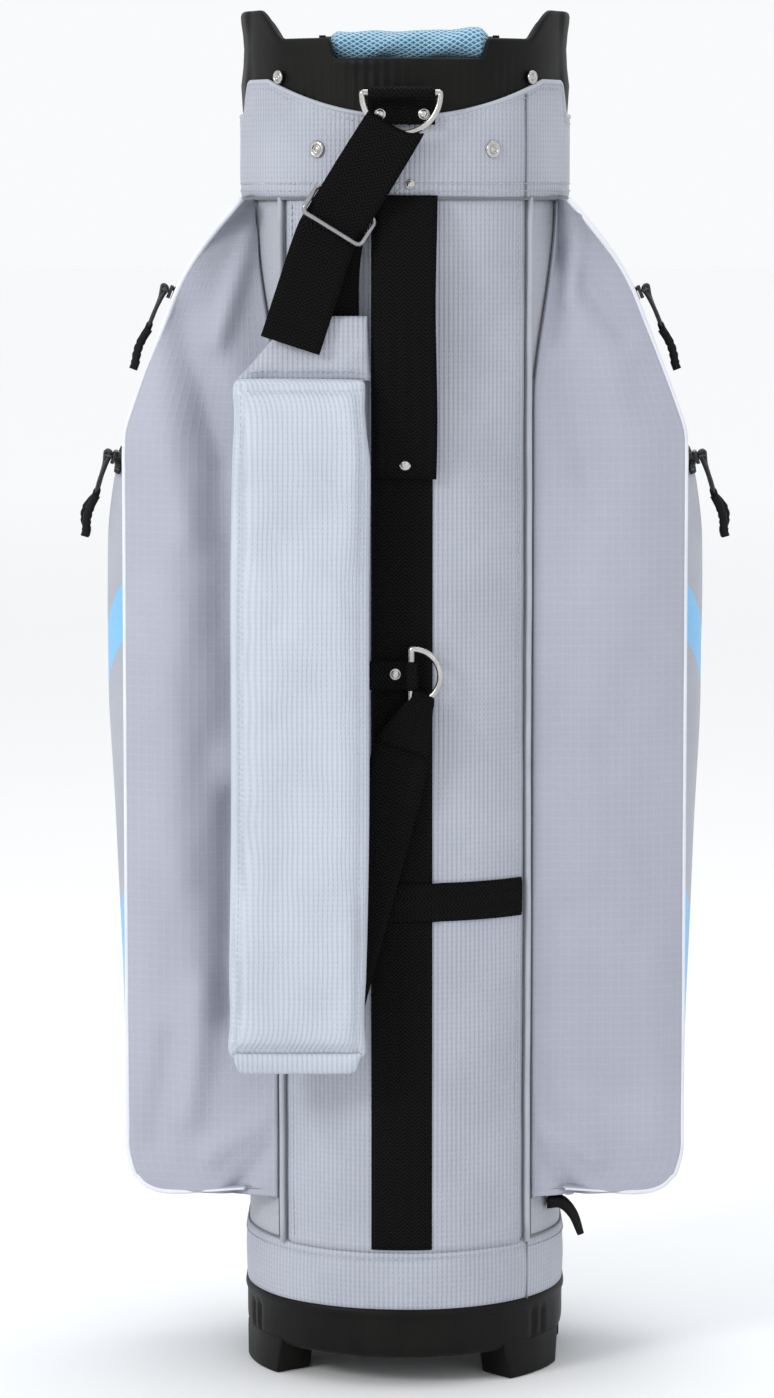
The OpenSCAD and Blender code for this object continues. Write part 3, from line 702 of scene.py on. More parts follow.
def make_boot():
    """The moulded boot: a rolled lip under the band and a wall that draws in to its sole."""
    lip = [(99.3, 50), (101.5, 51.2), (103.2, 50.8), (103.9, 49), (103.6, 46.5), (102.9, 45)]
    wall = [(102.7, 40), (102.7, 34), (102.6, 28), (102.0, 23.5), (100.5, 20.5)]
    sole = [(98, 19.2), (92, 19), (86, 19), (86, 21), (98.8, 22.5)]

    def dents(x, y, z, r):
        """Two upright dents over each foot."""
        if r < 101.5 or z > 46:
            return 0
        deep = 0
        angle = foot_angle(x, y)
        for a, b in FEET:
            for share in (0.42, 0.58):
                turn = (angle - (a + (b - a) * share) + 180) % 360 - 180
                deep = deep - 1.6 * bump(turn, 0, 1.6)
        return deep * float(smooth(22, 26, z) * smooth(45, 39, z))

    boot = ring_profile("base_boot_moulding", catmull(lip + wall + sole, 3), 420, PLASTIC, dents)
    finish_piece(boot, "bag", "moulded_plastic", "base_boot")


def make_feet():
    """Four blocks that follow the boot's wall, with sloped ends and a softened sole edge."""
    # Each level's height, the degrees trimmed off both ends and the inset of its walls
    levels = [(0.4, 3.2, 1.6), (0.0, 2.6, 0.5), (1.5, 2.0, 0.0), (6, 1.5, 0.0), (14, 0.4, 0.0),
              (19, -0.3, 0.0), (24, -0.6, 0.2)]
    n = 22
    feet = []
    for lo, hi in FEET:
        verts = []
        sy = -FLANK if math.sin(math.radians((lo + hi) / 2)) < 0 else FLANK
        for z, trim, inset in levels:
            angle = np.radians(np.linspace(lo + trim + 1, hi - trim - 1, n))
            for r, turn in ((CUFF_R - 0.1 - inset, angle), (76 + inset, angle[::-1])):
                verts += [(r * math.cos(q), sy + r * math.sin(q), z) for q in turn]
        faces = grid_faces(len(levels), 2 * n, wrap_v=True) + end_caps(len(levels), 2 * n)
        foot = mesh_object("foot", verts, faces, PLASTIC)
        bevel = foot.modifiers.new("edges", "BEVEL")
        bevel.width = 0.9 * MM
        bevel.segments = 2
        bevel.limit_method = "ANGLE"
        feet.append(foot)
    finish_piece(joined("base_feet_moulding", feet), "bag", "moulded_plastic", "base_feet")


# ---- Cuff, collar, grip ----

def rim_height(x, y):
    """The top of the cuff's wall: level, up to the ears at the sides, and down in the hand notch."""
    ears = smooth(76, 93, np.abs(x)) * (EAR_Z - RIM_Z)
    notch = smooth(NOTCH_X[0] - 1, NOTCH_X[0] + 2, x) * smooth(NOTCH_X[1] + 1, NOTCH_X[1] - 4, x) * (y < 0)
    return RIM_Z + ears - notch * (RIM_Z - NOTCH_Z)


def make_cuff():
    """The moulded cuff: its outer wall, its rim with the ears and the notch, and its inner wall."""
    nu = 520
    half = oval_length(CUFF_R) / 2
    u = np.linspace(-half, half, nu, endpoint=False)
    x0, y0, nx, ny = oval_at(CUFF_R, u)
    rim = rim_height(x0, y0) - 0.2
    at_side = smooth(50, 42, np.abs(y0)) * (np.abs(x0) > 80)
    ribs = 0.35 * np.cos(u * 2 * math.pi / 6.5) * smooth(78, 60, np.abs(x0))
    # From the foot of the outer wall over the rim to the foot of the inner one: (outward, share of height)
    outer = [(0, share) for share in (0.0, 0.12, 0.24, 0.36, 0.48, 0.6, 0.7, 0.8, 0.88, 0.94)]
    rounded = [(0.3, 0.975), (-0.2, 0.992), (-1.2, 1.0), (-2.8, 1.0), (-3.8, 0.992)]
    inner = [(-4.2, share) for share in (0.97, 0.9, 0.75, 0.6, 0.4)]
    steps = outer + rounded + inner
    points = np.zeros((nu, len(steps), 3))
    for j, (out, share) in enumerate(steps):
        z = COLLAR_Z + 1 + (rim - COLLAR_Z - 1) * share
        flare = at_side * (2.1 * bump(z, 820, 13) + 1.8 * smooth(850, 863, z)) if out > -2 else 0
        groove = ribs * smooth(800, 812, z) * smooth(842, 832, z) if out >= 0 else 0
        r = out + flare + groove
        points[:, j] = np.stack([x0 + nx * r, y0 + ny * r, z], 1)
    cloth = np.stack(np.broadcast_arrays(u[:, None], points[..., 2]), -1)
    faces = grid_faces(nu, len(steps), wrap_u=True)
    cuff = mesh_object("top_cuff_moulding", points.reshape(-1, 3), faces, PLASTIC, cloth)
    finish_piece(cuff, "bag", "moulded_plastic", "top_cuff")


def collar_top(u):
    """The collar's upper edge: a dip at the back and the front, level shoulders, lower at the sides."""
    low, rise, flat, flank = 803, 23.0, 86.0, 805
    x = np.abs(oval_at(COLLAR_R, u)[0])
    r = (flat ** 2 + rise ** 2) / (2 * rise)
    dip = low + r - np.sqrt(r * r - np.minimum(x, flat) ** 2)
    along = np.minimum(np.abs(u), oval_length(COLLAR_R) / 2 - np.abs(u))
    return dip - (dip - flank) * smooth(126, 139, along)


def make_collar():
    """The embossed collar, its hem and its stitches, a dark line of painted shade along its seam, and a line
    of painted shadow under its lower edge.
    """
    half = oval_length(COLLAR_R) / 2

    def heights(u):
        return COLLAR_Z + (float(collar_top(u)) - 0.8 - COLLAR_Z) * np.linspace(0, 1, 26)

    def shape(u, z, x, y):
        foot = -0.9 * bump(z, COLLAR_Z, 2.5) - 0.6 * bump(z, COLLAR_Z + 7, 1.6)
        return foot - 0.5 * bump(u, wall_u(COLLAR_R, PANEL_X), 1.5)

    collar = oval_patch("collar_cloth", COLLAR_R - 0.2, -half, half, heights, 240, VINYL, 2.2, 0.3, shape)
    finish_piece(collar, "bag", "embossed_vinyl", "collar")
    u = np.linspace(-half, half, 300)
    path, _ = wall_line(COLLAR_R - 1.0, u, collar_top(u) - 1.0)
    hem = sweep("collar_hem", path, round_section(1.5, 10), GREY_PIPING, UP)
    finish_piece(hem, "bag", "embossed_vinyl")
    rows = []
    for height in (COLLAR_Z + 4.0, COLLAR_Z + 8.5, collar_top(u) - 5.5):
        path, out = wall_line(COLLAR_R - 0.4, u, height)
        rows.append(stitch_row(path, out, THREAD))
    path, _ = upright(COLLAR_R - 0.2, PANEL_X, COLLAR_Z, 817, 20, 0.1)
    # painted shade: a dark cord down the collar's seam beside the panel stands in for the shadow in its
    # groove
    rows.append(sweep("seam", path, round_section(0.6, 8), SEAM_SHADE))
    finish_piece(joined("collar_stitches_and_seam_shade", rows), "bag", "embossed_vinyl")
    # painted shadow: a dark cord just under the collar's lower edge stands in for the shadow of its step
    path, _ = wall_line(COLLAR_R - 1.6, u, COLLAR_Z - 0.8)
    under = sweep("collar_seam_shade_line", path, round_section(1.1, 8), SEAM_SHADE, UP)
    finish_piece(under, "bag", "embossed_vinyl")


def make_grip():
    """The padded mesh grip: uneven, with a fuller rolled end on the right."""
    (x0, y0, z0), (x1, y1, z1) = box_mm("grip_wrap")
    x = np.linspace(x0, x1, 70)
    a = ring_angles(28)
    roll = bump(x, x1 - 12, 9)
    lump = 0.5 * np.sin(x / 7.0) + 0.4 * np.sin(x / 3.7 + 1)
    ends = np.minimum(1, 0.55 + 0.45 * np.minimum(smooth(x0 - 1, x0 + 5, x), smooth(x1 + 1, x1 - 5, x)))
    up = 1.6 * roll - 0.8 * bump(x, x0 + 18, 10)
    r = (8.6 + lump * 0.5 + 1.3 * roll) * ends
    along, turn = x[:, None], a[None, :]
    swell = r[:, None] + 0.5 * np.sin(3 * turn + along / 6)
    points = np.stack(np.broadcast_arrays(along, (y0 + y1) / 2 + swell * np.cos(turn) * 0.96,
                                          (z0 + z1) / 2 + up[:, None] + swell * np.sin(turn)), -1)
    cloth = np.stack(np.broadcast_arrays(along, 9 * turn), -1)
    faces = grid_faces(len(x), len(a), wrap_v=True) + end_caps(len(x), len(a))
    grip = mesh_object("grip_mesh_wrap", points.reshape(-1, 3), faces, MESH, cloth)
    finish_piece(grip, "bag", "mesh", "grip_wrap")


# ---- Webbing on the spine ----

def wall_strip(name, r, u, z, lift, material, along_u=False):
    """A flat strip of webbing on the tube's wall over a grid of places u and heights z."""
    uu, zz = np.meshgrid(u, z, indexing="ij")
    x, y, nx, ny = oval_at(r, uu)
    out = lift(uu, zz)
    points = np.stack([x + nx * out, y + ny * out, zz], -1)
    cloth = [zz, uu] if along_u else [uu, zz]
    return skin(name, points, material, np.stack(cloth, -1), 1.5)


def make_spine_webbing():
    """The webbing down the spine and the one across it."""
    def flat(u, z):
        return 0.15 * np.sin(z / 31.0) - 0.9 * smooth(SPINE_W / 2 - 2, SPINE_W / 2, np.abs(u - SPINE_X)) + 0.1

    across = np.linspace(-SPINE_W / 2, SPINE_W / 2, 13) + SPINE_X
    heights = np.linspace(BAND_Z + 1, COLLAR_Z + 0.5, 120)
    web = wall_strip("spine_webbing_strip", WEB_R, across, heights, flat, WEBBING)
    finish_piece(web, "bag", "webbing", "spine_webbing")
    lo, hi = box_mm("cross_webbing")
    middle = (lo[2] + hi[2]) / 2
    edge = wall_u(106.4, PANEL_X) - 1

    def over(u, z):
        step = smooth(SPINE_W / 2 + 6, SPINE_W / 2 + 1, np.abs(u - SPINE_X))
        return 1.6 * step - 0.7 * smooth(10, 12.2, np.abs(z - middle))

    places, heights = np.linspace(-edge, edge, 90), np.linspace(lo[2], hi[2], 9)
    cross = wall_strip("cross_webbing_strip", WEB_R + 0.2, places, heights, over, WEBBING, True)
    finish_piece(cross, "bag", "webbing", "cross_webbing")


def ribbon(name, controls, widths, steps):
    """The strap's webbing through control points (x, y, z, tilt): tilt turns its width in the XZ plane."""
    c = catmull(controls, steps)
    side = np.stack([np.cos(c[:, 3]), 0 * c[:, 3], -np.sin(c[:, 3])], 1)
    w = np.interp(np.linspace(0, len(controls) - 1, len(c)), np.arange(len(controls)), widths)
    scale = np.stack([w, 1 + 0.5 * (1 - w)], 1)
    return sweep(name, c[:, :3], strap_section(STRAP_W, WEB_T), WEBBING, side, scale=scale)


def make_handle():
    """The grab handle: a stretch of webbing that bows out from the spine."""
    lo, hi = box_mm("spine_handle")
    y_in = -(FLANK + WEB_R + 1.2)
    z = np.linspace(lo[2] - 6, hi[2] + 1, 40)
    t = np.clip((z - lo[2]) / (hi[2] - lo[2]), 0, 1)
    bow = np.sin(math.pi * t) ** 0.8
    path = np.stack([0.6 * np.sin(z / 23), y_in - bow * (y_in - lo[1] - 1.5), z], 1)
    section = strap_section(SPINE_W, 2.8)
    section[:, 1] -= 0.9 * (section[:, 0] / (SPINE_W / 2)) ** 2
    finish_piece(sweep("spine_handle_strap", path, section, WEBBING), "bag", "webbing", "spine_handle")


def rivet(name, origin, normal, r):
    """A domed rivet with a shallow step round its rim."""
    profile = [(1, 0), (1.02, 0.25), (0.97, 0.55), (0.84, 0.8), (0.8, 0.75), (0.68, 1.35), (0.45, 1.75),
               (0.2, 1.92), (0.001 / r, 1.95)]
    return lathe(name, [(r * share, h) for share, h in profile], NICKEL, origin, normal)


def snap(name, origin, normal, r):
    """A snap's ring with its sprung socket sunk inside."""
    profile = [(1, 0), (1.02, 0.6), (0.96, 1.3), (0.8, 1.75), (0.62, 1.6), (0.52, 0.9), (0.48, 0.5),
               (0.34, 0.45), (0.3, 1.0), (0.18, 1.25), (0.001 / r, 1.3)]
    return lathe(name, [(r * share, h) for share, h in profile], NICKEL, origin, normal)


def make_rivets():
    """The two rivets on the spine and the four snaps of the collar."""
    lo, hi = box_mm("spine_rivets")
    path, out = wall_line(COLLAR_R, np.array(wall_u(COLLAR_R, 3)), 761)
    parts = [rivet("rivet", (0, hi[1] - 2.3, lo[2] + 3.6), (0, -1, 0.1), 3.8),
             rivet("rivet", path + (0, -0.2, 0), out, 3.0)]
    finish_piece(joined("spine_rivet_heads", parts), "bag", "nickel", "spine_rivets")
    snaps = []
    for s in (-1, 1):
        for r, x, z, size in ((COLLAR_R, 54.6, 782.6, 5.4), (CUFF_R + 1.8, 79, 827.5, 4.3)):
            place, out = wall_line(r, np.array(wall_u(r, s * x)), z)
            snaps.append(snap("snap", place, out, size))
    finish_piece(joined("collar_snap_studs", snaps), "bag", "nickel", "collar_snaps")


# ---- D-rings and the strap ----

def d_path(r):
    """A D in the XZ plane: a straight bar on top and an arc below, as a closed loop."""
    a = np.linspace(0, math.pi, 36)
    arc = np.stack([r * np.cos(a), 0 * a, -1 - r * np.sin(a)], 1)
    corner = [(-r, 0, -0.2), (-r + 0.6, 0, 0)]
    bar = [(x, 0, 0) for x in np.linspace(-r + 1.5, r - 1.5, 12)]
    return np.vstack([arc, corner, bar, [(r - 0.6, 0, 0), (r, 0, -0.2)]])


def make_d_ring(name, centre, r, body, node, upright_bar=False):
    """A ring of bent wire, its bar on top or upright on its left."""
    path = d_path(r)
    if upright_bar:
        path = np.stack([-path[:, 2], path[:, 1], path[:, 0]], 1)
    ring = sweep(name, path + np.array(centre), round_section(WIRE_R, 14), NICKEL, DEEP, closed=True)
    finish_piece(ring, body, "nickel", node)


def eye(y, z, degrees):
    """Points round a bar along X at y, z: how a tab folded over it runs."""
    return [(0, y + EYE_R * math.cos(q), z + EYE_R * math.sin(q)) for q in np.radians(degrees)]


def make_keeper():
    """A strip folded over the ring's bar and riveted through its two tails."""
    lo, hi = box_mm("ring_keeper")
    path = [(0, -122.8, 798.5), (0, -122.8, 806), (0, -123.2, 811), (0, -126.5, 814.0)]
    path += eye(RING[1], RING[2], [-30, 10, 50, 90, 130, 170, 210, 250])
    path += [(0, -128.4, 812.3), (0, -125.2, 808.5), (0, -124.9, 803), (0, -124.9, 797.5)]
    path = catmull(path, 5) + ((lo[0] + hi[0]) / 2, 0, 0)
    tab = sweep("ring_keeper_tab", path, strap_section(hi[0] - lo[0], WEB_T), WEBBING)
    rivets = [rivet("rivet", (x, -125.6, 804), (0, -1, 0), 3.6) for x in (-15.5, 11.5)]
    finish_piece(tab, "bag", "webbing", "ring_keeper")
    finish_piece(joined("ring_keeper_rivets", rivets), "bag", "nickel")


FOLD_A = math.radians(16)
FOLD = (RING[0] - RING_R * math.sin(FOLD_A), RING[2] - 1 - RING_R * math.cos(FOLD_A))
DOWN = (-math.sin(STRAP_A), -math.cos(STRAP_A))
GLIDE_S = 60.0


def strap_point(s, y, tilt=STRAP_A):
    """A point s mm down the strap from the ring's wire, as a ribbon's control."""
    return (FOLD[0] + DOWN[0] * s, RING[1] + y, FOLD[1] + DOWN[1] * s, tilt)


def make_strap_webbing():
    """One run of webbing: out of the pad's cap, up and over the ring's wire, down and out as a loose tail."""
    cap_top = box_mm("pad_cap")[1][2]
    cap_x = FOLD[0] + DOWN[0] * 77 + 2
    y = RING[1] + 4.0
    controls = [(cap_x, y - 0.1, cap_top - 30, 0), (cap_x, y - 0.1, cap_top - 8, 0),
                (cap_x + 0.3, y, cap_top + 25, 0.10), (cap_x + 3, y, cap_top + 48, 0.3)]
    up = [(62, 4.0), (48, 4.0), (30, 4.0), (15, 3.9), (4, 3.8)]
    over = [(-1, 3.4), (-2.9, 2.1), (-3.6, 0), (-2.9, -2.1), (-1, -3.4)]
    down = [(4, -3.8), (15, -4.0), (30, -4.0), (43, -4.1), (49, -4.4), (54, -4.6), (59, -4.8), (64, -4.4),
            (70, -4.0)]
    controls += [strap_point(s, out) for s, out in up + over + down]
    controls.append(strap_point(75, -4.3, STRAP_A - 0.06))
    end = strap_point(77, -4.0)
    for k, fall in ((12, 1.2), (30, 4.0), (48, 6.8), (62, 8.6), (68.5, 9.4)):
        tilt = TAIL_A + (STRAP_A - TAIL_A) * (0.4 if k == 12 else 0.0)
        controls.append((end[0] - math.sin(TAIL_A) * k, end[1] - fall, end[2] - math.cos(TAIL_A) * k, tilt))
    widths = [1.0] * len(controls)
    widths[7:16] = (0.99, 0.98, 0.97, 0.96, 0.96, 0.96, 0.97, 0.98, 0.99)
    web = ribbon("strap_webbing_run", controls, widths, 8)

    def hug(p):
        """Draws the fold's right end up towards the ring's arc."""
        dx, dz = p[:, 0] - FOLD[0], p[:, 2] - FOLD[1]
        s = dx * DOWN[0] + dz * DOWN[1]
        across = dx * DOWN[1] - dz * DOWN[0]
        lift = smooth(34, 6, s) * np.minimum(across, 0) ** 2 / (2.2 * RING_R) * (dz > -70)
        p[:, 0] -= DOWN[0] * lift
        p[:, 2] -= DOWN[1] * lift
        return p

    set_points(web, hug)
    finish_piece(web, "strap", "webbing", "strap_webbing")


def strap_frame(points):
    """From the strap's own axes (across, out, up) at the slider to the row frame."""
    p = np.asarray(points, float)
    c, s = math.cos(STRAP_A), math.sin(STRAP_A)
    x, z = FOLD[0] + DOWN[0] * GLIDE_S, FOLD[1] + DOWN[1] * GLIDE_S
    return np.stack([x + p[:, 0] * c + p[:, 2] * s, RING[1] - p[:, 1], z - p[:, 0] * s + p[:, 2] * c], 1)


def make_tri_glide():
    """A bent-wire slider: a rounded frame in front of the webbing and a middle bar behind it."""
    w, h, r = STRAP_W / 2 + 2.0, 9.4, 3.6
    a = np.linspace(0, math.pi / 2, 7)
    corners = [(w - r, h - r, 0), (-w + r, h - r, 90), (-w + r, -h + r, 180), (w - r, -h + r, 270)]
    loop = np.array([(x + r * math.cos(q + math.radians(t)), 0, z + r * math.sin(q + math.radians(t)))
                     for x, z, t in corners for q in a])
    loop[:, 1] = 7.4 - 7.0 * smooth(-h * 0.6, h, loop[:, 2])
    parts = [sweep("glide", strap_frame(loop), round_section(1.9, 14, 1.55), SATIN, DEEP, closed=True)]
    middle = [(q, 0, 0) for q in np.linspace(-w + 2, w - 2, 8)]
    parts.append(sweep("bar", strap_frame(middle), round_section(1.4), SATIN, DEEP))
    for s in (-1, 1):
        leg = catmull([(s * w, 5.6, 0), (s * w, 3.4, 0), (s * (w - 0.6), 1.0, 0), (s * (w - 2.6), 0.1, 0)], 5)
        parts.append(sweep("leg", strap_frame(leg), round_section(1.35), SATIN, UP))
    finish_piece(joined("tri_glide_frame", parts), "strap_slider", "satin_metal", "tri_glide")


def points_of(mesh):
    """A mesh's points in metres, as an array."""
    co = np.zeros(len(mesh.vertices) * 3)
    mesh.vertices.foreach_get("co", co)
    return co.reshape(-1, 3)


def set_points(obj, function):
    """Moves an object's points by a function of them in millimetres."""
    co = function(points_of(obj.data) / MM) * MM
    obj.data.vertices.foreach_set("co", co.ravel())
    obj.data.update()


def remeshed(obj):
    """The object rebuilt as an even mesh of 5 mm quads."""
    remesh = obj.modifiers.new("remesh", "REMESH")
    remesh.mode = "VOXEL"
    remesh.voxel_size = 5.0 * MM
    return joined(obj.name, [obj])


def inflate(obj, cap):
    """Fills a closed shell by cloth simulation: no point moves further than cap millimetres."""
    frames = 20
    start = points_of(obj.data)
    cloth = obj.modifiers.new("cloth", "CLOTH")
    cloth.settings.quality = 6
    cloth.settings.mass = 0.3
    cloth.settings.use_pressure = True
    cloth.settings.uniform_pressure_force = 4.0
    cloth.settings.effector_weights.gravity = 0
    cloth.point_cache.frame_start, cloth.point_cache.frame_end = 1, frames
    scene = bpy.context.scene
    for f in range(1, frames + 1):
        scene.frame_set(f)
    graph = bpy.context.evaluated_depsgraph_get()
    move = points_of(bpy.data.meshes.new_from_object(obj.evaluated_get(graph), depsgraph=graph)) - start
    obj.modifiers.clear()
    scene.frame_set(1)
    size = np.linalg.norm(move, axis=1)
    move *= np.minimum(1, cap * MM / np.maximum(size, 1e-9))[:, None]
    obj.data.vertices.foreach_set("co", (start + move).ravel())
    obj.data.update()
    return obj


def box_shell(name, x, y, z, material, smooth_shade=True):
    """A closed box from its two x, two y and two z values."""
    verts = [(a, b, c) for a in x for b in y for c in z]
    faces = [[0, 1, 3, 2], [4, 6, 7, 5], [0, 4, 5, 1], [2, 3, 7, 6], [0, 2, 6, 4], [1, 5, 7, 3]]
    return mesh_object(name, verts, faces, material, smooth_shade=smooth_shade)


def give_cloth(obj):
    """Cloth coordinates from the place of each point, for a piece that was remeshed."""
    x, y, z = points_of(obj.data).T
    data = np.stack([x + y, z, 0 * z], 1).astype(np.float32)
    attributes = obj.data.attributes
    attribute = attributes.get("cloth") or attributes.new("cloth", "FLOAT_VECTOR", "POINT")
    attribute.data.foreach_set("vector", data.ravel())


def lean(z):
    """The pad hangs a little to the left at its foot."""
    return -3.5 * (1 - np.clip((z - 210.0) / 430.0, 0, 1)) + 0.5 * np.sin(z / 47.0)


def shoulder(z, top):
    """How far the pad's right edge draws in towards its top."""
    return 4.5 * smooth(top - 62, top, z)


def make_pad():
    """The shoulder pad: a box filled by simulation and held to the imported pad's outline."""
    (x0, y0, z0), (x1, y1, z1) = box_mm("shoulder_pad")
    z0 += PAD_FOLD
    pad = box_shell("shoulder_pad_cushion", (x0 + 2.5, x1 - 2.5), (y0 + 4, y1 - 2), (z0 + 1, z1 - 1),
                    PAD_VINYL)
    pad = remeshed(pad)
    pad = inflate(pad, 5.0)

    def shape(p):
        """Keeps it in its own space, draws the edge seams in and lets the faces ripple a little."""
        x, y, z = p.T
        z = z0 + (z - z.min()) / (z.max() - z.min()) * (z1 - z0)
        levels = np.linspace(z0 + 8, z1 - 8, 40)
        near = [np.abs(z - level) < 9 for level in levels]
        left = np.interp(z, levels, [x[k].min() for k in near])
        right = np.interp(z, levels, [x[k].max() for k in near])
        x = x0 + (x - left) / (right - left) * (x1 - x0)
        side = np.minimum(x - x0, x1 - x)
        end = np.minimum(z - z0, z1 - z)
        seam = 1.3 * (bump(side, 5.5, 1.6) + bump(end, 7, 2.0))
        ripple = 0.7 * soft_noise(x, 0 * side, z * 0.6, 34) * smooth(2, 12, side)
        y = np.clip(y + np.where(y < (y0 + y1) / 2, seam + ripple, 0), y0 - 3, y1)
        x = np.clip(x, x0 - 1, x1 + 0.6)
        z = np.clip(z, z0 - 3, z1 + 1)
        x = x + lean(z) - shoulder(z, z1) * (x - x0) / (x1 - x0)
        return np.stack([x, y, z], 1)

    finer = pad.modifiers.new("smooth", "SUBSURF")
    finer.levels = finer.render_levels = 1
    pad = joined("shoulder_pad_cushion", [pad])
    set_points(pad, shape)
    give_cloth(pad)
    pad.data.polygons.foreach_set("use_smooth", [True] * len(pad.data.polygons))
    finish_piece(pad, "strap", "embossed_vinyl", "shoulder_pad")
    make_pad_trim(x0, x1, y0, z0, z1)


def make_pad_trim(x0, x1, y0, z0, z1):
    """The stitches inside the pad's edge, and the folded end at its bottom."""
    zs = np.linspace(z0 + 9, z1 - 9, 60)
    xs = np.linspace(x0 + 8, x1 - 8, 20)
    paths = []
    for x, draw in ((x0 + 5.5, 0), (x1 - 5.5, 1)):
        paths.append(np.stack([x + lean(zs) - draw * shoulder(zs, z1), y0 + 1.0 + 0 * zs, zs], 1))
    for z in (z0 + 7.5, z1 - 7.5):
        paths.append(np.stack([xs + lean(z), y0 + 1.2 + 0 * xs, z + 0 * xs], 1))
    rows = [stitch_row(path, (0, -1, 0), THREAD, lift=0.6) for path in paths]
    finish_piece(joined("shoulder_pad_stitches", rows), "strap", "embossed_vinyl")
    x, a = np.linspace(x0 + 2.5, x1 - 2.5, 22)[:, None], np.linspace(0, 1, 12)[None, :]
    edge = smooth(0, 6, np.minimum(x - x.min(), x.max() - x) + 1)
    drop = 13.5 * np.sin(math.pi * 0.5 * np.minimum(a * 2.1, 1)) * edge
    grid = np.stack(np.broadcast_arrays(x + lean(z0), y0 + 2.5 + 15 * a ** 1.2,
                                        z0 + 4 - drop + 3.0 * smooth(0.6, 1, a)), -1)
    cloth = np.stack(np.broadcast_arrays(x, 15 * a), -1)
    fold = skin("shoulder_pad_end_fold", grid, PAD_VINYL, cloth, 1.5, flip=True)
    finish_piece(fold, "strap", "embossed_vinyl")


def make_pad_cap():
    """The tapered end that joins the webbing to the pad: one rounded skin, flatter towards its top."""
    (x0, y0, z0), (x1, y1, z1) = box_mm("pad_cap")
    z0 -= 2
    top_middle, top_half = -47, 23.5
    rings, levels = 52, 20
    a = ring_angles(rings)
    points = np.zeros((rings, levels, 3))
    for j, t in enumerate(np.linspace(0, 1, levels)):
        left = x0 + (top_middle - top_half - x0) * t ** 0.9
        right = x1 + (top_middle + top_half - x1) * t ** 1.2
        flat = (0.98 - 0.45 * t) * (1 - 0.25 * bump(t, 0.0, 0.08)) * (1 - 0.5 * smooth(0.93, 1.0, t))
        section = soft_square((right - left) / 2, (y1 - y0) / 2 * flat, a, 0.45, 0.7)
        x = (left + right) / 2 + section[:, 0]
        z = z0 + (z1 - z0) * t + 0 * x
        crumple = 0.8 * soft_noise(x, 0 * x, z, 16) * (np.abs(np.sin(a)) > 0.3)
        points[:, j] = np.stack([x, (y0 + y1) / 2 + section[:, 1] + crumple, z], 1)
    cloth = points[..., ::2]
    faces = grid_faces(rings, levels, wrap_u=True)
    faces += [[i * levels for i in range(rings)][::-1], [i * levels + levels - 1 for i in range(rings)]]
    cap = mesh_object("pad_cap_cloth", points.reshape(-1, 3), faces, VINYL, cloth)
    finish_piece(cap, "strap", "embossed_vinyl", "pad_cap")
    x = np.linspace(x0 + 6, x1 - 6, 20)
    path = np.stack([x, y0 + 0.6 + 0 * x, z0 + 6 + 0 * x], 1)
    row = stitch_row(path, (0, -1, 0), THREAD, lift=0.3, name="pad_cap_stitches")
    finish_piece(row, "strap", "embossed_vinyl")


def make_lower_strap():
    """The webbing from the lower ring down behind the pad; it bends between the bag and the strap."""
    z_end = box_mm("strap_lower_webbing")[0][2] + 3
    x, y, z = LOW_RING
    a, tilt, gathered = math.radians(24), math.radians(15), 0.42
    wx, wz = x + 1 + LOW_RING_R * math.sin(a), z - LOW_RING_R * math.cos(a)
    # From the front over the wire to the back: (x, y, z, tilt, width), the place from the wire's own
    over = [(-13, -1.2, -30, tilt, 0.95), (-6, -3.6, -11, 0.35, 0.62), (-1.8, -4.0, -2, gathered, 0.42),
            (-0.4, -3.0, 3.0, gathered, 0.36), (-0.2, 0, 4.2, gathered, 0.34),
            (-0.4, 3.0, 3.0, gathered, 0.36), (-1.8, 3.8, -2, gathered, 0.42), (-6, 2.6, -11, 0.35, 0.62),
            (-13, 0.6, -30, tilt, 0.95)]
    controls = [(wx + dx, y + dy, wz + dz, turn) for dx, dy, dz, turn, _ in over]
    widths = [row[-1] for row in over]
    for k in (25, 60, 100, 140, 175, 200):
        if wz - 30 - k > z_end:
            sway = 0.8 * math.sin(k / 30)
            controls.append((wx - 13 - math.tan(tilt) * k, y + 0.4 - sway, wz - 30 - k, tilt))
            widths.append(1.0)
    web = ribbon("strap_lower_webbing_run", controls, widths, 7)
    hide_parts("strap_lower_webbing")
    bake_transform(web, "bag", "strap", start=(0, y * MM, (wz - 40) * MM), end=(-0.05, y * MM, z_end * MM))


def make_lower_tab():
    """The tab that holds the lower ring: a strip folded round its upright bar, with a rivet."""
    x, y, z = LOW_RING
    path = [(-25, -122.6, z), (-12, -122.6, z), (-3, -122.8, z), (0.6, -124.6, z)]
    turn = np.radians([140, 100, 60, 20, -20, -60, -100, -140])
    path += [(x + EYE_R * math.cos(q), y + EYE_R * math.sin(q), z) for q in turn]
    path += [(0.2, -126.2, z), (-3.5, -124.8, z), (-12, -124.6, z), (-24, -124.6, z)]
    tab = sweep("lower_ring_tab_strip", catmull(path, 5), strap_section(18, WEB_T), WEBBING, UP)
    finish_piece(tab, "bag", "webbing", "lower_ring_tab")
    finish_piece(rivet("lower_ring_rivet", (-6, -125.2, z + 1), (0, -1, 0), 3.6), "bag", "nickel")


# ---- Side pockets ----

def side_profile():
    """The side pocket's outer edge as [height, half width]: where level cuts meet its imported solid."""
    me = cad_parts["side_pocket_right"].data
    ends = np.array([[me.vertices[i].co for i in e.vertices] for e in me.edges]) / MM
    low, high = ends[..., 2].min(), ends[..., 2].max()
    rows = []
    for z in np.linspace(low + 0.2, high - 0.2, 160):
        cut = ends[(ends[..., 2].min(1) <= z) & (ends[..., 2].max(1) >= z)]
        rise = cut[:, 1, 2] - cut[:, 0, 2]
        steep = np.abs(rise) > 1e-6
        share = np.where(steep, (z - cut[:, 0, 2]) / np.where(steep, rise, 1), 0)
        rows.append((z, (cut[:, 0, 0] + share * (cut[:, 1, 0] - cut[:, 0, 0])).max()))
    return np.array(rows)


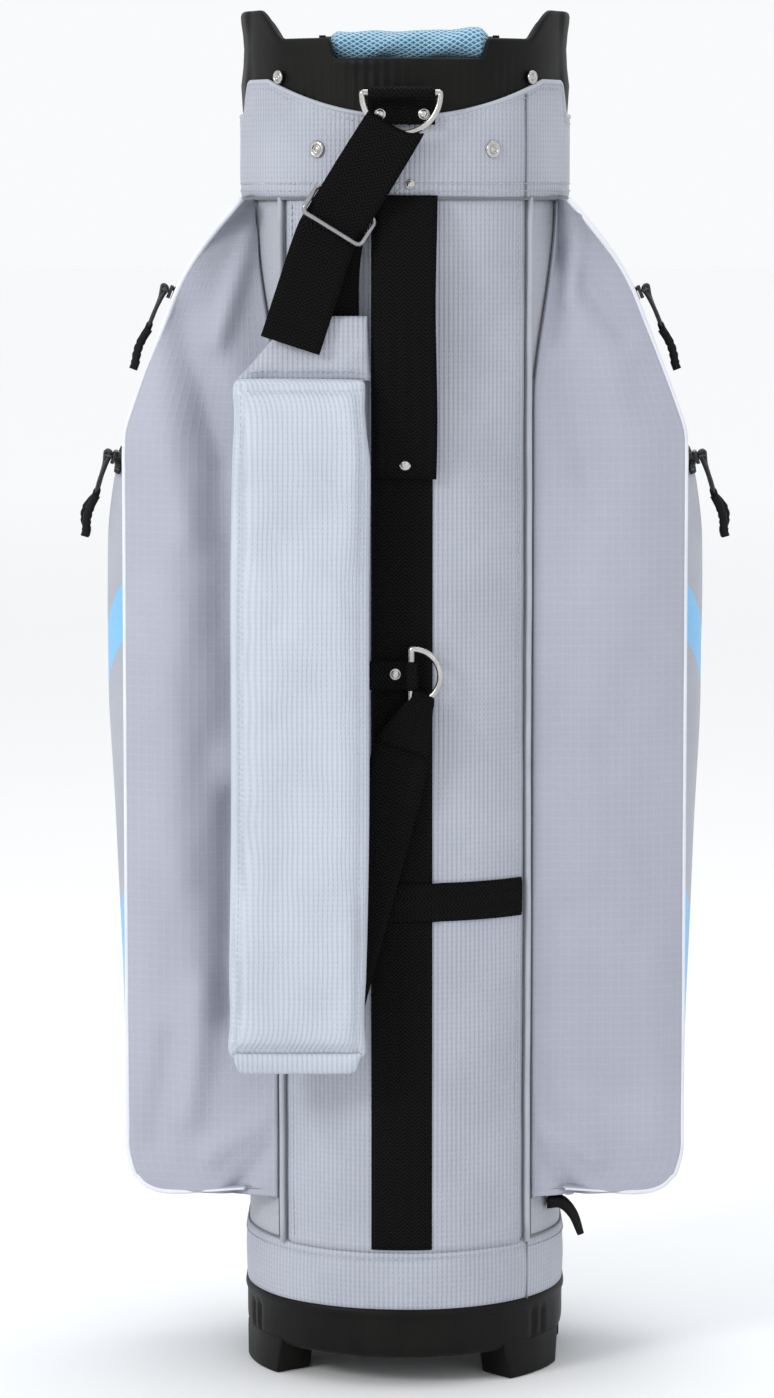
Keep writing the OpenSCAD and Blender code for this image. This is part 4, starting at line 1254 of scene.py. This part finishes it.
SIDE = side_profile()
POCKET_TOP = COLLAR_Z - 1
POCKET_LOW = float(SIDE[0, 0]) + 5.0


def half_width(z):
    """Half the bag's width over the side pockets, at a height."""
    return np.interp(z, SIDE[:, 0], SIDE[:, 1])


def pocket_profile():
    """The pocket's outline from the collar down, round the lower corner and in to the tube."""
    z = np.linspace(POCKET_TOP, POCKET_LOW + 12, DOWN_POINTS)
    down = np.stack([z, half_width(z)], 1)
    for _ in range(4):
        down[1:-1] = 0.25 * down[:-2] + 0.5 * down[1:-1] + 0.25 * down[2:]
    zb, xb = down[-1]
    under = catmull([(zb, xb), (POCKET_LOW + 4, xb - 8), (POCKET_LOW + 0.5, xb - 20),
                     (POCKET_LOW + 1.5, xb - 42), (POCKET_LOW + 4, 112), (POCKET_LOW + 5, 103.5)], 8)
    return np.vstack([down, under[1:]])


PROFILE = pocket_profile()


def seam_x(z):
    """Where the pocket's gusset is sewn to the tube: it flares out towards the collar."""
    return PANEL_X + 5.5 + (95 - PANEL_X - 5.5) * smooth(628, POCKET_TOP, z) ** 0.8


def pocket_edge(x):
    """The piping's place on the pocket for an outer half width x: x and y."""
    ex = np.minimum(x - 1.6, 178.2)
    return ex, 85.0 - (ex - 70.0) * 0.275


# Soft folds of the gussets: from (|x|, z) to (|x|, z), width and depth in millimetres
BACK_FOLDS = {
    1: [(97, 750, 96, 712, 4, -3.4), (97, 720, 95, 664, 7, -2.6), (108, 742, 104, 690, 6, 2.0),
        (112, 700, 137, 668, 9, -2.2),
        (100, 640, 112, 585, 13, -1.8), (128, 640, 150, 560, 16, 1.4), (120, 500, 118, 330, 22, 1.6),
        (92, 300, 96, 170, 14, -2.0), (160, 260, 165, 150, 16, 1.5), (82, 150, 108, 118, 6, -2.4),
        (84, 168, 122, 140, 7, 1.6), (100, 196, 150, 180, 14, -1.0)],
    -1: [(103, 746, 138, 722, 7, -2.6), (96, 730, 118, 664, 7, 2.2), (143, 676, 113, 586, 13, -3.4),
         (160, 640, 140, 540, 14, 2.0), (112, 560, 108, 420, 14, -2.2), (150, 500, 152, 330, 20, 1.8),
         (108, 370, 112, 235, 11, -4.2), (128, 250, 140, 170, 11, 2.4), (150, 215, 160, 150, 10, -1.6),
         (82, 150, 108, 120, 6, -2.4), (84, 170, 124, 142, 7, 1.8)]}


def folds_at(x, z, folds):
    """The depth of a set of folds at |x|, z: each is a rounded ridge or valley along a line."""
    total = 0
    for x0, z0, x1, z1, width, depth in folds:
        dx, dz = x1 - x0, z1 - z0
        share = np.clip(((x - x0) * dx + (z - z0) * dz) / (dx * dx + dz * dz), 0, 1)
        away = np.hypot(x - x0 - share * dx, z - z0 - share * dz)
        total = total + FOLD_DEPTH * depth * bump(away, 0, width)
    return total


def gusset_points(back, s):
    """A grid from the tube's seam (first row) to the piping (last row). back is -1 for the strap's side."""
    t = np.linspace(0, 1, 44)
    z, x = PROFILE[:, 0], PROFILE[:, 1]
    sx = np.minimum(seam_x(z), x - 4)
    r = TUBE_R + 1.2
    sy = FLANK + np.sqrt(np.maximum(r * r - np.minimum(sx, r - 1) ** 2, 0))
    ex, ey = pocket_edge(x)
    points = np.zeros((len(t), len(z), 3))
    for i, q in enumerate(t):
        px = sx + (ex - sx) * q
        hold = math.sin(math.pi * q) ** 0.6
        swell = math.sin(math.pi * q ** 1.6) * (6.0 * smooth(115, 260, z) * smooth(740, 600, z) + 0.5)
        folds = folds_at(px, z, BACK_FOLDS[s if back < 0 else -s])
        folds = folds + 0.9 * soft_noise(px * 1.5, 0 * px + 40 * back, z * 0.5, 45)
        py = sy + (ey - sy) * q + swell + folds * hold
        wall = np.sqrt(np.maximum(r * r - np.minimum(px, r - 0.01) ** 2, 0)) + FLANK + 0.6
        py = np.where(px < r, np.maximum(py, wall), py)
        points[i] = np.stack([s * px, back * py, z], 1)
    return points, t


def panel_points(s):
    """The outer side panel, bulging between the two pipings."""
    z, x = PROFILE[:, 0], PROFILE[:, 1]
    ex, ey = pocket_edge(x)
    t = np.linspace(-1, 1, 30)
    points = np.zeros((len(t), len(z), 3))
    for i, q in enumerate(t):
        bulge = (x - ex) * (1 - abs(q) ** BULGE_POWER)
        folds = 0.54 * soft_noise(0 * z + 30 * s, ey * q, z * 0.4, 55) * (1 - q * q)
        points[i] = np.stack([s * (ex + bulge + folds - 0.3), q * ey, z], 1)
    return points, t


def make_side_pocket(s):
    """A side pocket: its outer panel, its two gussets, the pipings between them and dark lines of painted
    shade along its seams on the tube.
    """
    side = "right" if s > 0 else "left"
    z = PROFILE[:, 0]
    outer, t = panel_points(s)
    ey = pocket_edge(PROFILE[:, 1])[1]
    cloth = np.stack(np.broadcast_arrays(t[:, None] * ey[None, :], z[None, :]), -1)
    panel = skin(f"side_panel_{side}", outer, PANEL, cloth, 1.4, flip=s > 0)
    finish_piece(panel, "bag", "ripstop", f"side_pocket_{side}")
    beads, seams = [], []
    for back in (-1, 1):
        grid, t = gusset_points(back, s)
        cloth = np.stack(np.broadcast_arrays(t[:, None] * 100, grid[..., 2]), -1)
        name = f"side_gusset_{'back' if back < 0 else 'fore'}_{side}"
        gusset = skin(name, grid, RIPSTOP, cloth, 1.4, flip=(s > 0) == (back > 0))
        finish_piece(gusset, "bag", "ripstop")
        path = catmull(grid[-1][::3], 3)
        thin = 1 - 0.6 * smooth(150, 118, np.abs(path[:, 0])) * (path[:, 2] < 200)
        beads.append(sweep("bead", path, round_section(1.9, 10), PIPING, DEEP, scale=thin))
        inner = grid[0] + (0, back * 0.3, 0)
        inner = inner[inner[:, 2] > POCKET_LOW + 8]
        # painted shade: a thin dark cord along the gusset's seam on the tube stands in for the shadow in its
        # groove
        seams.append(sweep("seam", catmull(inner[::3], 3), round_section(0.5, 8), SEAM_SHADE, DEEP))
    stands_for = ["side_piping"] if s > 0 else []
    finish_piece(joined(f"side_piping_{side}", beads), "bag", "piping", *stands_for)
    finish_piece(joined(f"side_pocket_seam_shades_{side}", seams), "bag", "ripstop")


def panel_surface(s, y, z):
    """A point on the side panel, and its outward direction."""
    def outline(height):
        return np.interp(height, PROFILE[:DOWN_POINTS, 0][::-1], PROFILE[:DOWN_POINTS, 1][::-1])

    x = outline(z)
    ex, ey = pocket_edge(x)
    q = np.clip(y / ey, -1, 1)
    px = ex + (x - ex) * (1 - abs(q) ** BULGE_POWER) - 0.3
    slope = (outline(z - 5) - outline(z + 5)) / 10
    turn = (x - ex) * BULGE_POWER * abs(q) ** (BULGE_POWER - 1) * np.sign(q) / ey
    n = np.array([1.0, turn, slope])
    return np.array([s * px, y, z]), n / np.linalg.norm(n) * (s, 1, 1)


# ---- Zips ----

def zip_line(path, out):
    """Tape with a stitched edge on both sides, and the coil's teeth in two rows."""
    path, out = np.asarray(path, float), np.asarray(out, float)
    ahead = np.gradient(path, axis=0)
    side = np.cross(ahead / np.linalg.norm(ahead, axis=1)[:, None], out)
    parts = [sweep("tape", path + out * 0.8, strap_section(16, 0.9), TAPE, side)]
    for k in (-1, 1):
        teeth, edge = path + out * 1.5 + side * k * 1.0, path + out * 1.3 + side * k * 5.2
        parts.append(stitch_row(teeth, side, TAPE, pitch=2.0, length=1.3, r=1.0, lift=0))
        parts.append(stitch_row(edge, out, DARK_THREAD, pitch=3.4, length=2.4, r=0.3, lift=0))
    return parts


def make_side_zips():
    """Both side pockets' zips: a short one above and a long one that turns down on the fore side."""
    upper = [(y, UPPER_ZIP_Z) for y in np.linspace(-50, 50, 30)]
    run = [(y, LOWER_ZIP_Z) for y in np.linspace(-50, 30, 18)]
    bend = [(30 + 14 * math.sin(a), 571 + 14 * math.cos(a)) for a in np.linspace(0.3, math.pi / 2, 5)]
    leg = [(44.0, z) for z in np.linspace(556, 190, 40)]
    parts = []
    for s in (-1, 1):
        for line in (upper, run + bend + leg):
            parts += zip_line(*zip(*[panel_surface(s, y, z) for y, z in line]))
    finish_piece(joined("side_zip_lines", parts), "bag", "zip_tape", "side_zips")


def place_on_side(s, z, y):
    """The turn and place that put a zip's own axes (along, up, out) on a side pocket."""
    z5 = half_width(np.array([z - 5.0, z + 5.0]))
    tilt = math.atan((z5[0] - z5[1]) / 10)
    out = np.array([s * math.cos(tilt), 0, math.sin(tilt)])
    up = np.array([-s * math.sin(tilt), 0, math.cos(tilt)])
    along = np.array([0.0, 1.0, 0.0])
    return np.stack([along, up, out], 1), np.array([s * float(half_width(z)), y, z])


def place_on_front(x, y, z):
    """The turn and place that put a zip's own axes (along, up, out) on a front pocket."""
    return np.array([[-1.0, 0, 0], [0, 0, 1.0], [0, 1.0, 0]]).T, np.array([x, y, z])


def put(obj, place):
    """Turns and moves an object made in a zip's own axes to its place."""
    turn, origin = place
    set_points(obj, lambda p: p @ turn.T + origin)
    if np.linalg.det(turn) < 0:
        obj.data.flip_normals()
    return obj


# How far a slider's bail stands out from the pocket
BAIL = 8.0


def make_slider(name, place):
    """A zip slider: a waisted body in two plates with a post between them, and a bail."""
    y = np.linspace(-4.2, 4.2, 9)
    half = 3.2 + 1.5 * np.abs(y / 4.2) ** 2
    parts = []
    for z0, z1 in ((2.3, 4.4), (0.9, 1.5)):
        section = [(-1, z0), (-1, z1 - 0.5), (-0.75, z1), (0.75, z1), (1, z1 - 0.5), (1, z0)]
        verts = [(h * a, q, z) for q, h in zip(y, half) for a, z in section]
        faces = grid_faces(len(y), 6, wrap_v=True) + end_caps(len(y), 6)
        parts.append(mesh_object("plate", verts, faces, DARK_METAL, smooth_shade=False))
    parts.append(box_shell("post", (-0.9, 0.9), (1.2, 3.6), (1.2, 3.0), DARK_METAL, False))
    side = [(3.4, 0, 4.0), (3.4, 0, 6.4), (3.0, 0, 7.7), (2, 0, BAIL)]
    bail = [(-x, y0, z) for x, y0, z in side] + [(0, 0, BAIL)] + side[::-1]
    parts.append(sweep("bail", catmull(bail, 4), round_section(0.8, 10), DARK_METAL, DEEP))
    finish_piece(put(joined(name + "_body", parts), place), name, "dark_metal", name)


def make_pull(name, place, bend=1.0):
    """A cord loop through the bail and a bent moulded grip on its ends."""
    # (along, up, out from the bail), from one end of the loop over the bail to the other
    loop = [(0.9, -25, 0), (1.5, -16, 0), (1.4, -6, 0), (0.8, -1.0, 0.8), (0.2, 2.0, 1.2), (-0.2, 2.4, -0.6),
            (-0.8, 0.6, -2.2), (-1.4, -5, -1.0), (-1.5, -16, 0), (-0.9, -25, 0)]
    cord = sweep("cord", catmull(loop, 6) + (0, 0, BAIL), round_section(1.35, 10), CORD, UP)
    ends = [(0, y, BAIL) for y in (-22.5, -24, -27, -28.5)]
    knot = sweep("knot", ends, round_section(2.2, 14), RUBBER, scale=[0.75, 1, 1, 0.8])
    y = np.linspace(-27, -54.5, 18)
    t = (y + 27) / -27.5
    arch = bend * 2.0 * np.sin(math.pi * np.minimum(t * 1.15, 1))
    path = np.stack([0 * y, y, BAIL + arch - 0.6], 1)
    widths = 1 - 0.22 * bump(t, 0.12, 0.1) - 0.12 * smooth(0.8, 1, t)
    ridges = 1 + 0.12 * np.cos(t * 2 * math.pi * 6) * smooth(0.2, 0.3, t) * smooth(0.95, 0.85, t)
    section = soft_square(3.3, 2.7, ring_angles(16), 0.6, 0.7)
    grip = sweep("grip", path, section, RUBBER, scale=np.stack([widths, ridges], 1))
    finish_piece(put(joined(name + "_cord", [cord, knot, grip]), place), name, "pull_rubber", name)


def make_zip_sets():
    """Every zip's slider and pull: three zips' ends on each side, one on each front pocket."""
    for side, s in (("left", -1), ("right", 1)):
        for end, z, y, bend in (("upper", UPPER_ZIP_Z, -42.0, 0.9), ("back", LOWER_ZIP_Z, -5.2, 0.9),
                                ("fore", LOWER_ZIP_Z, 5.2, 2.3)):
            place = place_on_side(s, z, y)
            make_slider(f"{end}_slider_{side}", place)
            make_pull(f"{end}_pull_{side}", place, bend)
    for kind, x in (("ball", -50.0), ("valuables", -45.0)):
        hi = box_mm(kind + "_pocket")[1]
        place = place_on_front(x, hi[1], hi[2] - ZIP_DROP)
        make_slider(f"{kind}_slider", place)
        make_pull(f"{kind}_pull", place)


# ---- Front of the bag ----

def front_surface(kind, u, v):
    """A front pocket's skin: u from -1 to 1 across it, v from 0 at its foot to 1 at its head."""
    (_, _, z0), (half, deep, z1) = box_mm(kind + "_pocket")
    ends = (1 - np.abs(2 * v - 1) ** 9) ** 0.35
    width = half * (0.965 + 0.035 * ends)
    a = np.sign(u) * np.abs(u) ** 0.8 * math.pi / 2
    x = width * np.sign(np.sin(a)) * np.abs(np.sin(a)) ** 0.55
    wall, tube = (FLANK + np.sqrt(np.maximum((TUBE_R + 0.5) ** 2 - q ** 2, 0)) for q in (width, x))
    rise = np.abs(np.cos(a)) ** 0.35 * ends
    z = z0 + (z1 - z0) * v
    y = np.maximum(tube + (deep - 0.5 - tube) * rise, wall)
    y = y + 0.8 * soft_noise(x, y, z, 50) * rise
    return np.stack([x, np.minimum(y, deep + 0.3), z + 0 * u], -1)


def make_front_pocket(kind):
    """A front pocket's skin and the piping round its face."""
    u, v = np.meshgrid(np.linspace(-1, 1, 60), np.linspace(0, 1, 46), indexing="ij")
    grid = front_surface(kind, u, v)
    shell = skin(f"{kind}_pocket_cloth", grid, RIPSTOP, grid[..., ::2], 1.4, flip=True)
    finish_piece(shell, "bag", "ripstop", f"{kind}_pocket")
    edge_u, edge_v = 0.42, 0.03
    up = np.linspace(edge_v, 1 - edge_v, 40)
    across = np.linspace(-edge_u, edge_u, 40)
    beads = []
    for s in (-1, 1):
        path = front_surface(kind, 0 * up + s * edge_u, up)
        beads.append(sweep("bead", path, round_section(1.7, 10), PIPING, DEEP))
    for v in (edge_v, 1 - edge_v):
        path = front_surface(kind, across, 0 * across + v)
        beads.append(sweep("bead", path, round_section(1.7, 10), PIPING, UP))
    finish_piece(joined(f"{kind}_pocket_piping", beads), "bag", "piping")


def make_front_zips():
    """The front pockets' two straight zips."""
    parts = []
    for kind, reach in (("ball", 60), ("valuables", 55)):
        hi = box_mm(kind + "_pocket")[1]
        x = np.linspace(-reach, reach, 30)
        path = np.stack([x, 0 * x + hi[1] - 0.4, 0 * x + hi[2] - ZIP_DROP], 1)
        parts += zip_line(path, np.broadcast_to([0.0, 1.0, 0.0], path.shape))
    finish_piece(joined("front_zip_lines", parts), "bag", "zip_tape", "front_zips")


def make_front_handle():
    """The handle on the front of the collar, with its padded mesh sleeve."""
    lo, hi = box_mm("front_handle")
    x1, y1, z = hi[0], hi[1], (lo[2] + hi[2]) / 2
    y0 = FLANK + COLLAR_R
    half = [(-x1 - 4, y0 - 12.2, z), (-x1 + 1, y0 - 8, z), (-x1 + 5, y0 + 4, z), (-x1 + 9, y1 - 8, z),
            (-24, y1 - 3, z)]
    path = half + [(0, y1 - 2, z)] + [(-x, y, z) for x, y, z in half[::-1]]
    strap = sweep("front_handle_strap", catmull(path, 6), strap_section(25, 2.4), WEBBING, UP)
    s = np.linspace(-1, 1, 30)
    along = np.stack([30 * s, y1 - 2 - 1.2 * s * s, z + 0 * s], 1)
    fat = 1.15 - 0.25 * np.abs(s) ** 3
    roll = sweep("front_handle_sleeve", along, round_section(14, 18, 2.6), MESH, UP, scale=fat)
    finish_piece(strap, "bag", "webbing", "front_handle")
    finish_piece(roll, "bag", "mesh")


def make_towel_ring():
    """The towel ring and the folded tab that holds it."""
    y, z = 122.5, 700.0
    path = [(0, 118.3, z + 29), (0, 118.3, z + 12), (0, 118.8, z + 6)]
    path += eye(y, z, [160, 200, 250, 300, 350, 40, 90])
    path += [(0, 121.3, z + 6), (0, 120.4, z + 12), (0, 120.3, z + 29)]
    tab = sweep("towel_tab_strip", catmull(path, 5), strap_section(18, WEB_T), WEBBING)
    finish_piece(tab, "bag", "webbing", "towel_tab")
    finish_piece(rivet("towel_tab_rivet", (0, 121.0, z + 20), (0, 1, 0), 3.4), "bag", "nickel")
    make_d_ring("towel_ring_wire", (0, y, z), 20.0, "towel_ring", "towel_ring")


def make_side_tab():
    """A small tapered tab under the right pocket."""
    path = catmull([(92, -62, 110), (101, -62, 109), (108.5, -62, 101), (113.5, -62, 88)], 8)
    taper = np.linspace(1, 0.42, len(path))
    tab = sweep("umbrella_tab_strip", path, round_section(4.6, 16, 5.4), PLASTIC, DEEP, scale=taper)
    finish_piece(tab, "bag", "moulded_plastic", "umbrella_tab")


# ---- Inside the top ----

# The wells: three rows of bars across, and the bars along between them
ROWS_Y = (-55.0, 0.0, 55.0)
COLS = ((-32, 32), (-47, 0, 47), (-47, 0, 47), (-32, 32))


def make_dividers():
    """The ring and the bars between the wells, with rounded upper edges."""
    lo, hi = box_mm("divider_ring")
    z0, z1 = lo[2], hi[2]
    profile = [(92.6, z0), (96, z0), (96, z1 - 2), (95.2, z1 - 0.5), (94, z1), (93.4, z1 - 0.4),
               (92.6, z1 - 2)]
    ring = ring_profile("divider_ring_moulding", profile, 220, PLASTIC)
    finish_piece(ring, "bag", "moulded_plastic", "divider_ring")
    half = [(-2.4, z0), (-2.4, z1 - 2), (-1.6, z1 - 0.5)]
    section = half + [(0, z1)] + [(-x, z) for x, z in half[::-1]]
    r = 92.3
    bars = []
    for y in ROWS_Y:
        reach = math.sqrt(r * r - max(abs(y) - FLANK, 0) ** 2)
        bars.append(sweep("bar", [(x, y, 0) for x in np.linspace(-reach, reach, 14)], section, PLASTIC, DEEP))
    edges = (-112.0, *ROWS_Y, 112.0)
    for i, cols in enumerate(COLS):
        for x in cols:
            reach = FLANK + math.sqrt(r * r - x * x)
            a, b = max(edges[i] + 2.5, -reach), min(edges[i + 1] - 2.5, reach)
            path = [(x, y, 0) for y in np.linspace(a, b, 14)]
            bars.append(sweep("bar", path, section, PLASTIC, (-1, 0, 0)))
    finish_piece(joined("divider_bars_moulding", bars), "bag", "moulded_plastic", "divider_bars")


def use_cad(node, material):
    """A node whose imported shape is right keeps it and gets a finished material."""
    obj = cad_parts[node]
    obj.data.materials.clear()
    obj.data.materials.append(material)


# ---- Studio ----

def make_studio():
    """A wide pale floor that brightens to the world's white far away, and soft light."""
    pale = Shader("studio_floor", 0.85)
    away = pale.node("ShaderNodeVectorMath", operation="LENGTH")
    pale.tree.links.new(pale.place(), away.inputs[0])
    tint = pale.mix(pale.noise(700, 2.0), (0.84, 0.85, 0.86, 1), (0.88, 0.88, 0.88, 1))
    pale.color(pale.mix(pale.range(away.outputs["Value"], 1.5, 9.0, 0.0, 1.0), tint, (0.99, 0.99, 0.99, 1)))
    half_side, steps = 60000.0, 25
    share = np.linspace(-1, 1, steps)
    line = np.sign(share) * share ** 2 * half_side
    x, y = np.meshgrid(line, line, indexing="ij")
    grid = np.stack([x, y, 0 * x], -1)
    floor = mesh_object("studio_floor", grid.reshape(-1, 3), grid_faces(steps, steps), pale.mat)
    world = bpy.data.worlds.new("studio")
    bpy.context.scene.world = world
    world.use_nodes = True
    sky = world.node_tree.nodes["Background"].inputs
    sky["Color"].default_value = (0.97, 0.985, 1.0, 1)
    sky["Strength"].default_value = 0.97
    for name, place, aim, size, power in (
            ("key", (-2.6, -2.6, 2.3), (0, 0, 0.45), 1.0, 56),
            ("front", (1.6, -3.4, 1.4), (0, 0, 0.45), 1.6, 7),
            ("top", (0.3, 0.6, 3.0), (0, 0, 0.4), 1.6, 22)):
        data = bpy.data.lights.new(name, "AREA")
        data.shape = "SQUARE"
        data.size = size
        data.energy = power
        light = bpy.data.objects.new(name, data)
        bpy.context.scene.collection.objects.link(light)
        light.location = place
        light.rotation_euler = (Vector(aim) - Vector(place)).to_track_quat("-Z", "Y").to_euler()
    bpy.context.scene.view_settings.view_transform = "Standard"


def make_camera():
    """At the height of the collar's seam, 3.1 m from the bag, looking down 6 degrees."""
    data = bpy.data.cameras.new("camera")
    data.sensor_width = 36
    data.lens = 123.4
    data.clip_end = 50
    camera = bpy.data.objects.new("camera", data)
    bpy.context.scene.collection.objects.link(camera)
    camera.location = (0, -3.1, 0.755)
    camera.rotation_euler = (math.radians(90 - 6.016), 0, math.radians(0.216))
    bpy.context.scene.camera = camera


# ---- Put it together ----

make_camera()
make_studio()
make_cover()
make_spine_seams()
make_band()
make_boot()
make_feet()
make_cuff()
make_collar()
make_grip()
make_spine_webbing()
make_handle()
make_rivets()
make_keeper()
make_d_ring("upper_d_ring_wire", RING, RING_R, "upper_ring", "upper_d_ring")
make_d_ring("lower_d_ring_wire", LOW_RING, LOW_RING_R, "lower_ring", "lower_d_ring", upright_bar=True)
make_strap_webbing()
make_tri_glide()
make_pad()
make_pad_cap()
make_lower_strap()
make_lower_tab()
for hand in (-1, 1):
    make_side_pocket(hand)
make_side_zips()
make_zip_sets()
for pocket in ("ball", "valuables"):
    make_front_pocket(pocket)
make_front_zips()
make_front_handle()
make_towel_ring()
make_side_tab()
make_dividers()
use_cad("inner_tube", SHEET)
use_cad("base_floor", SHEET)
use_cad("divider_panels", LINER)
use_cad("grip_bar", PLASTIC)
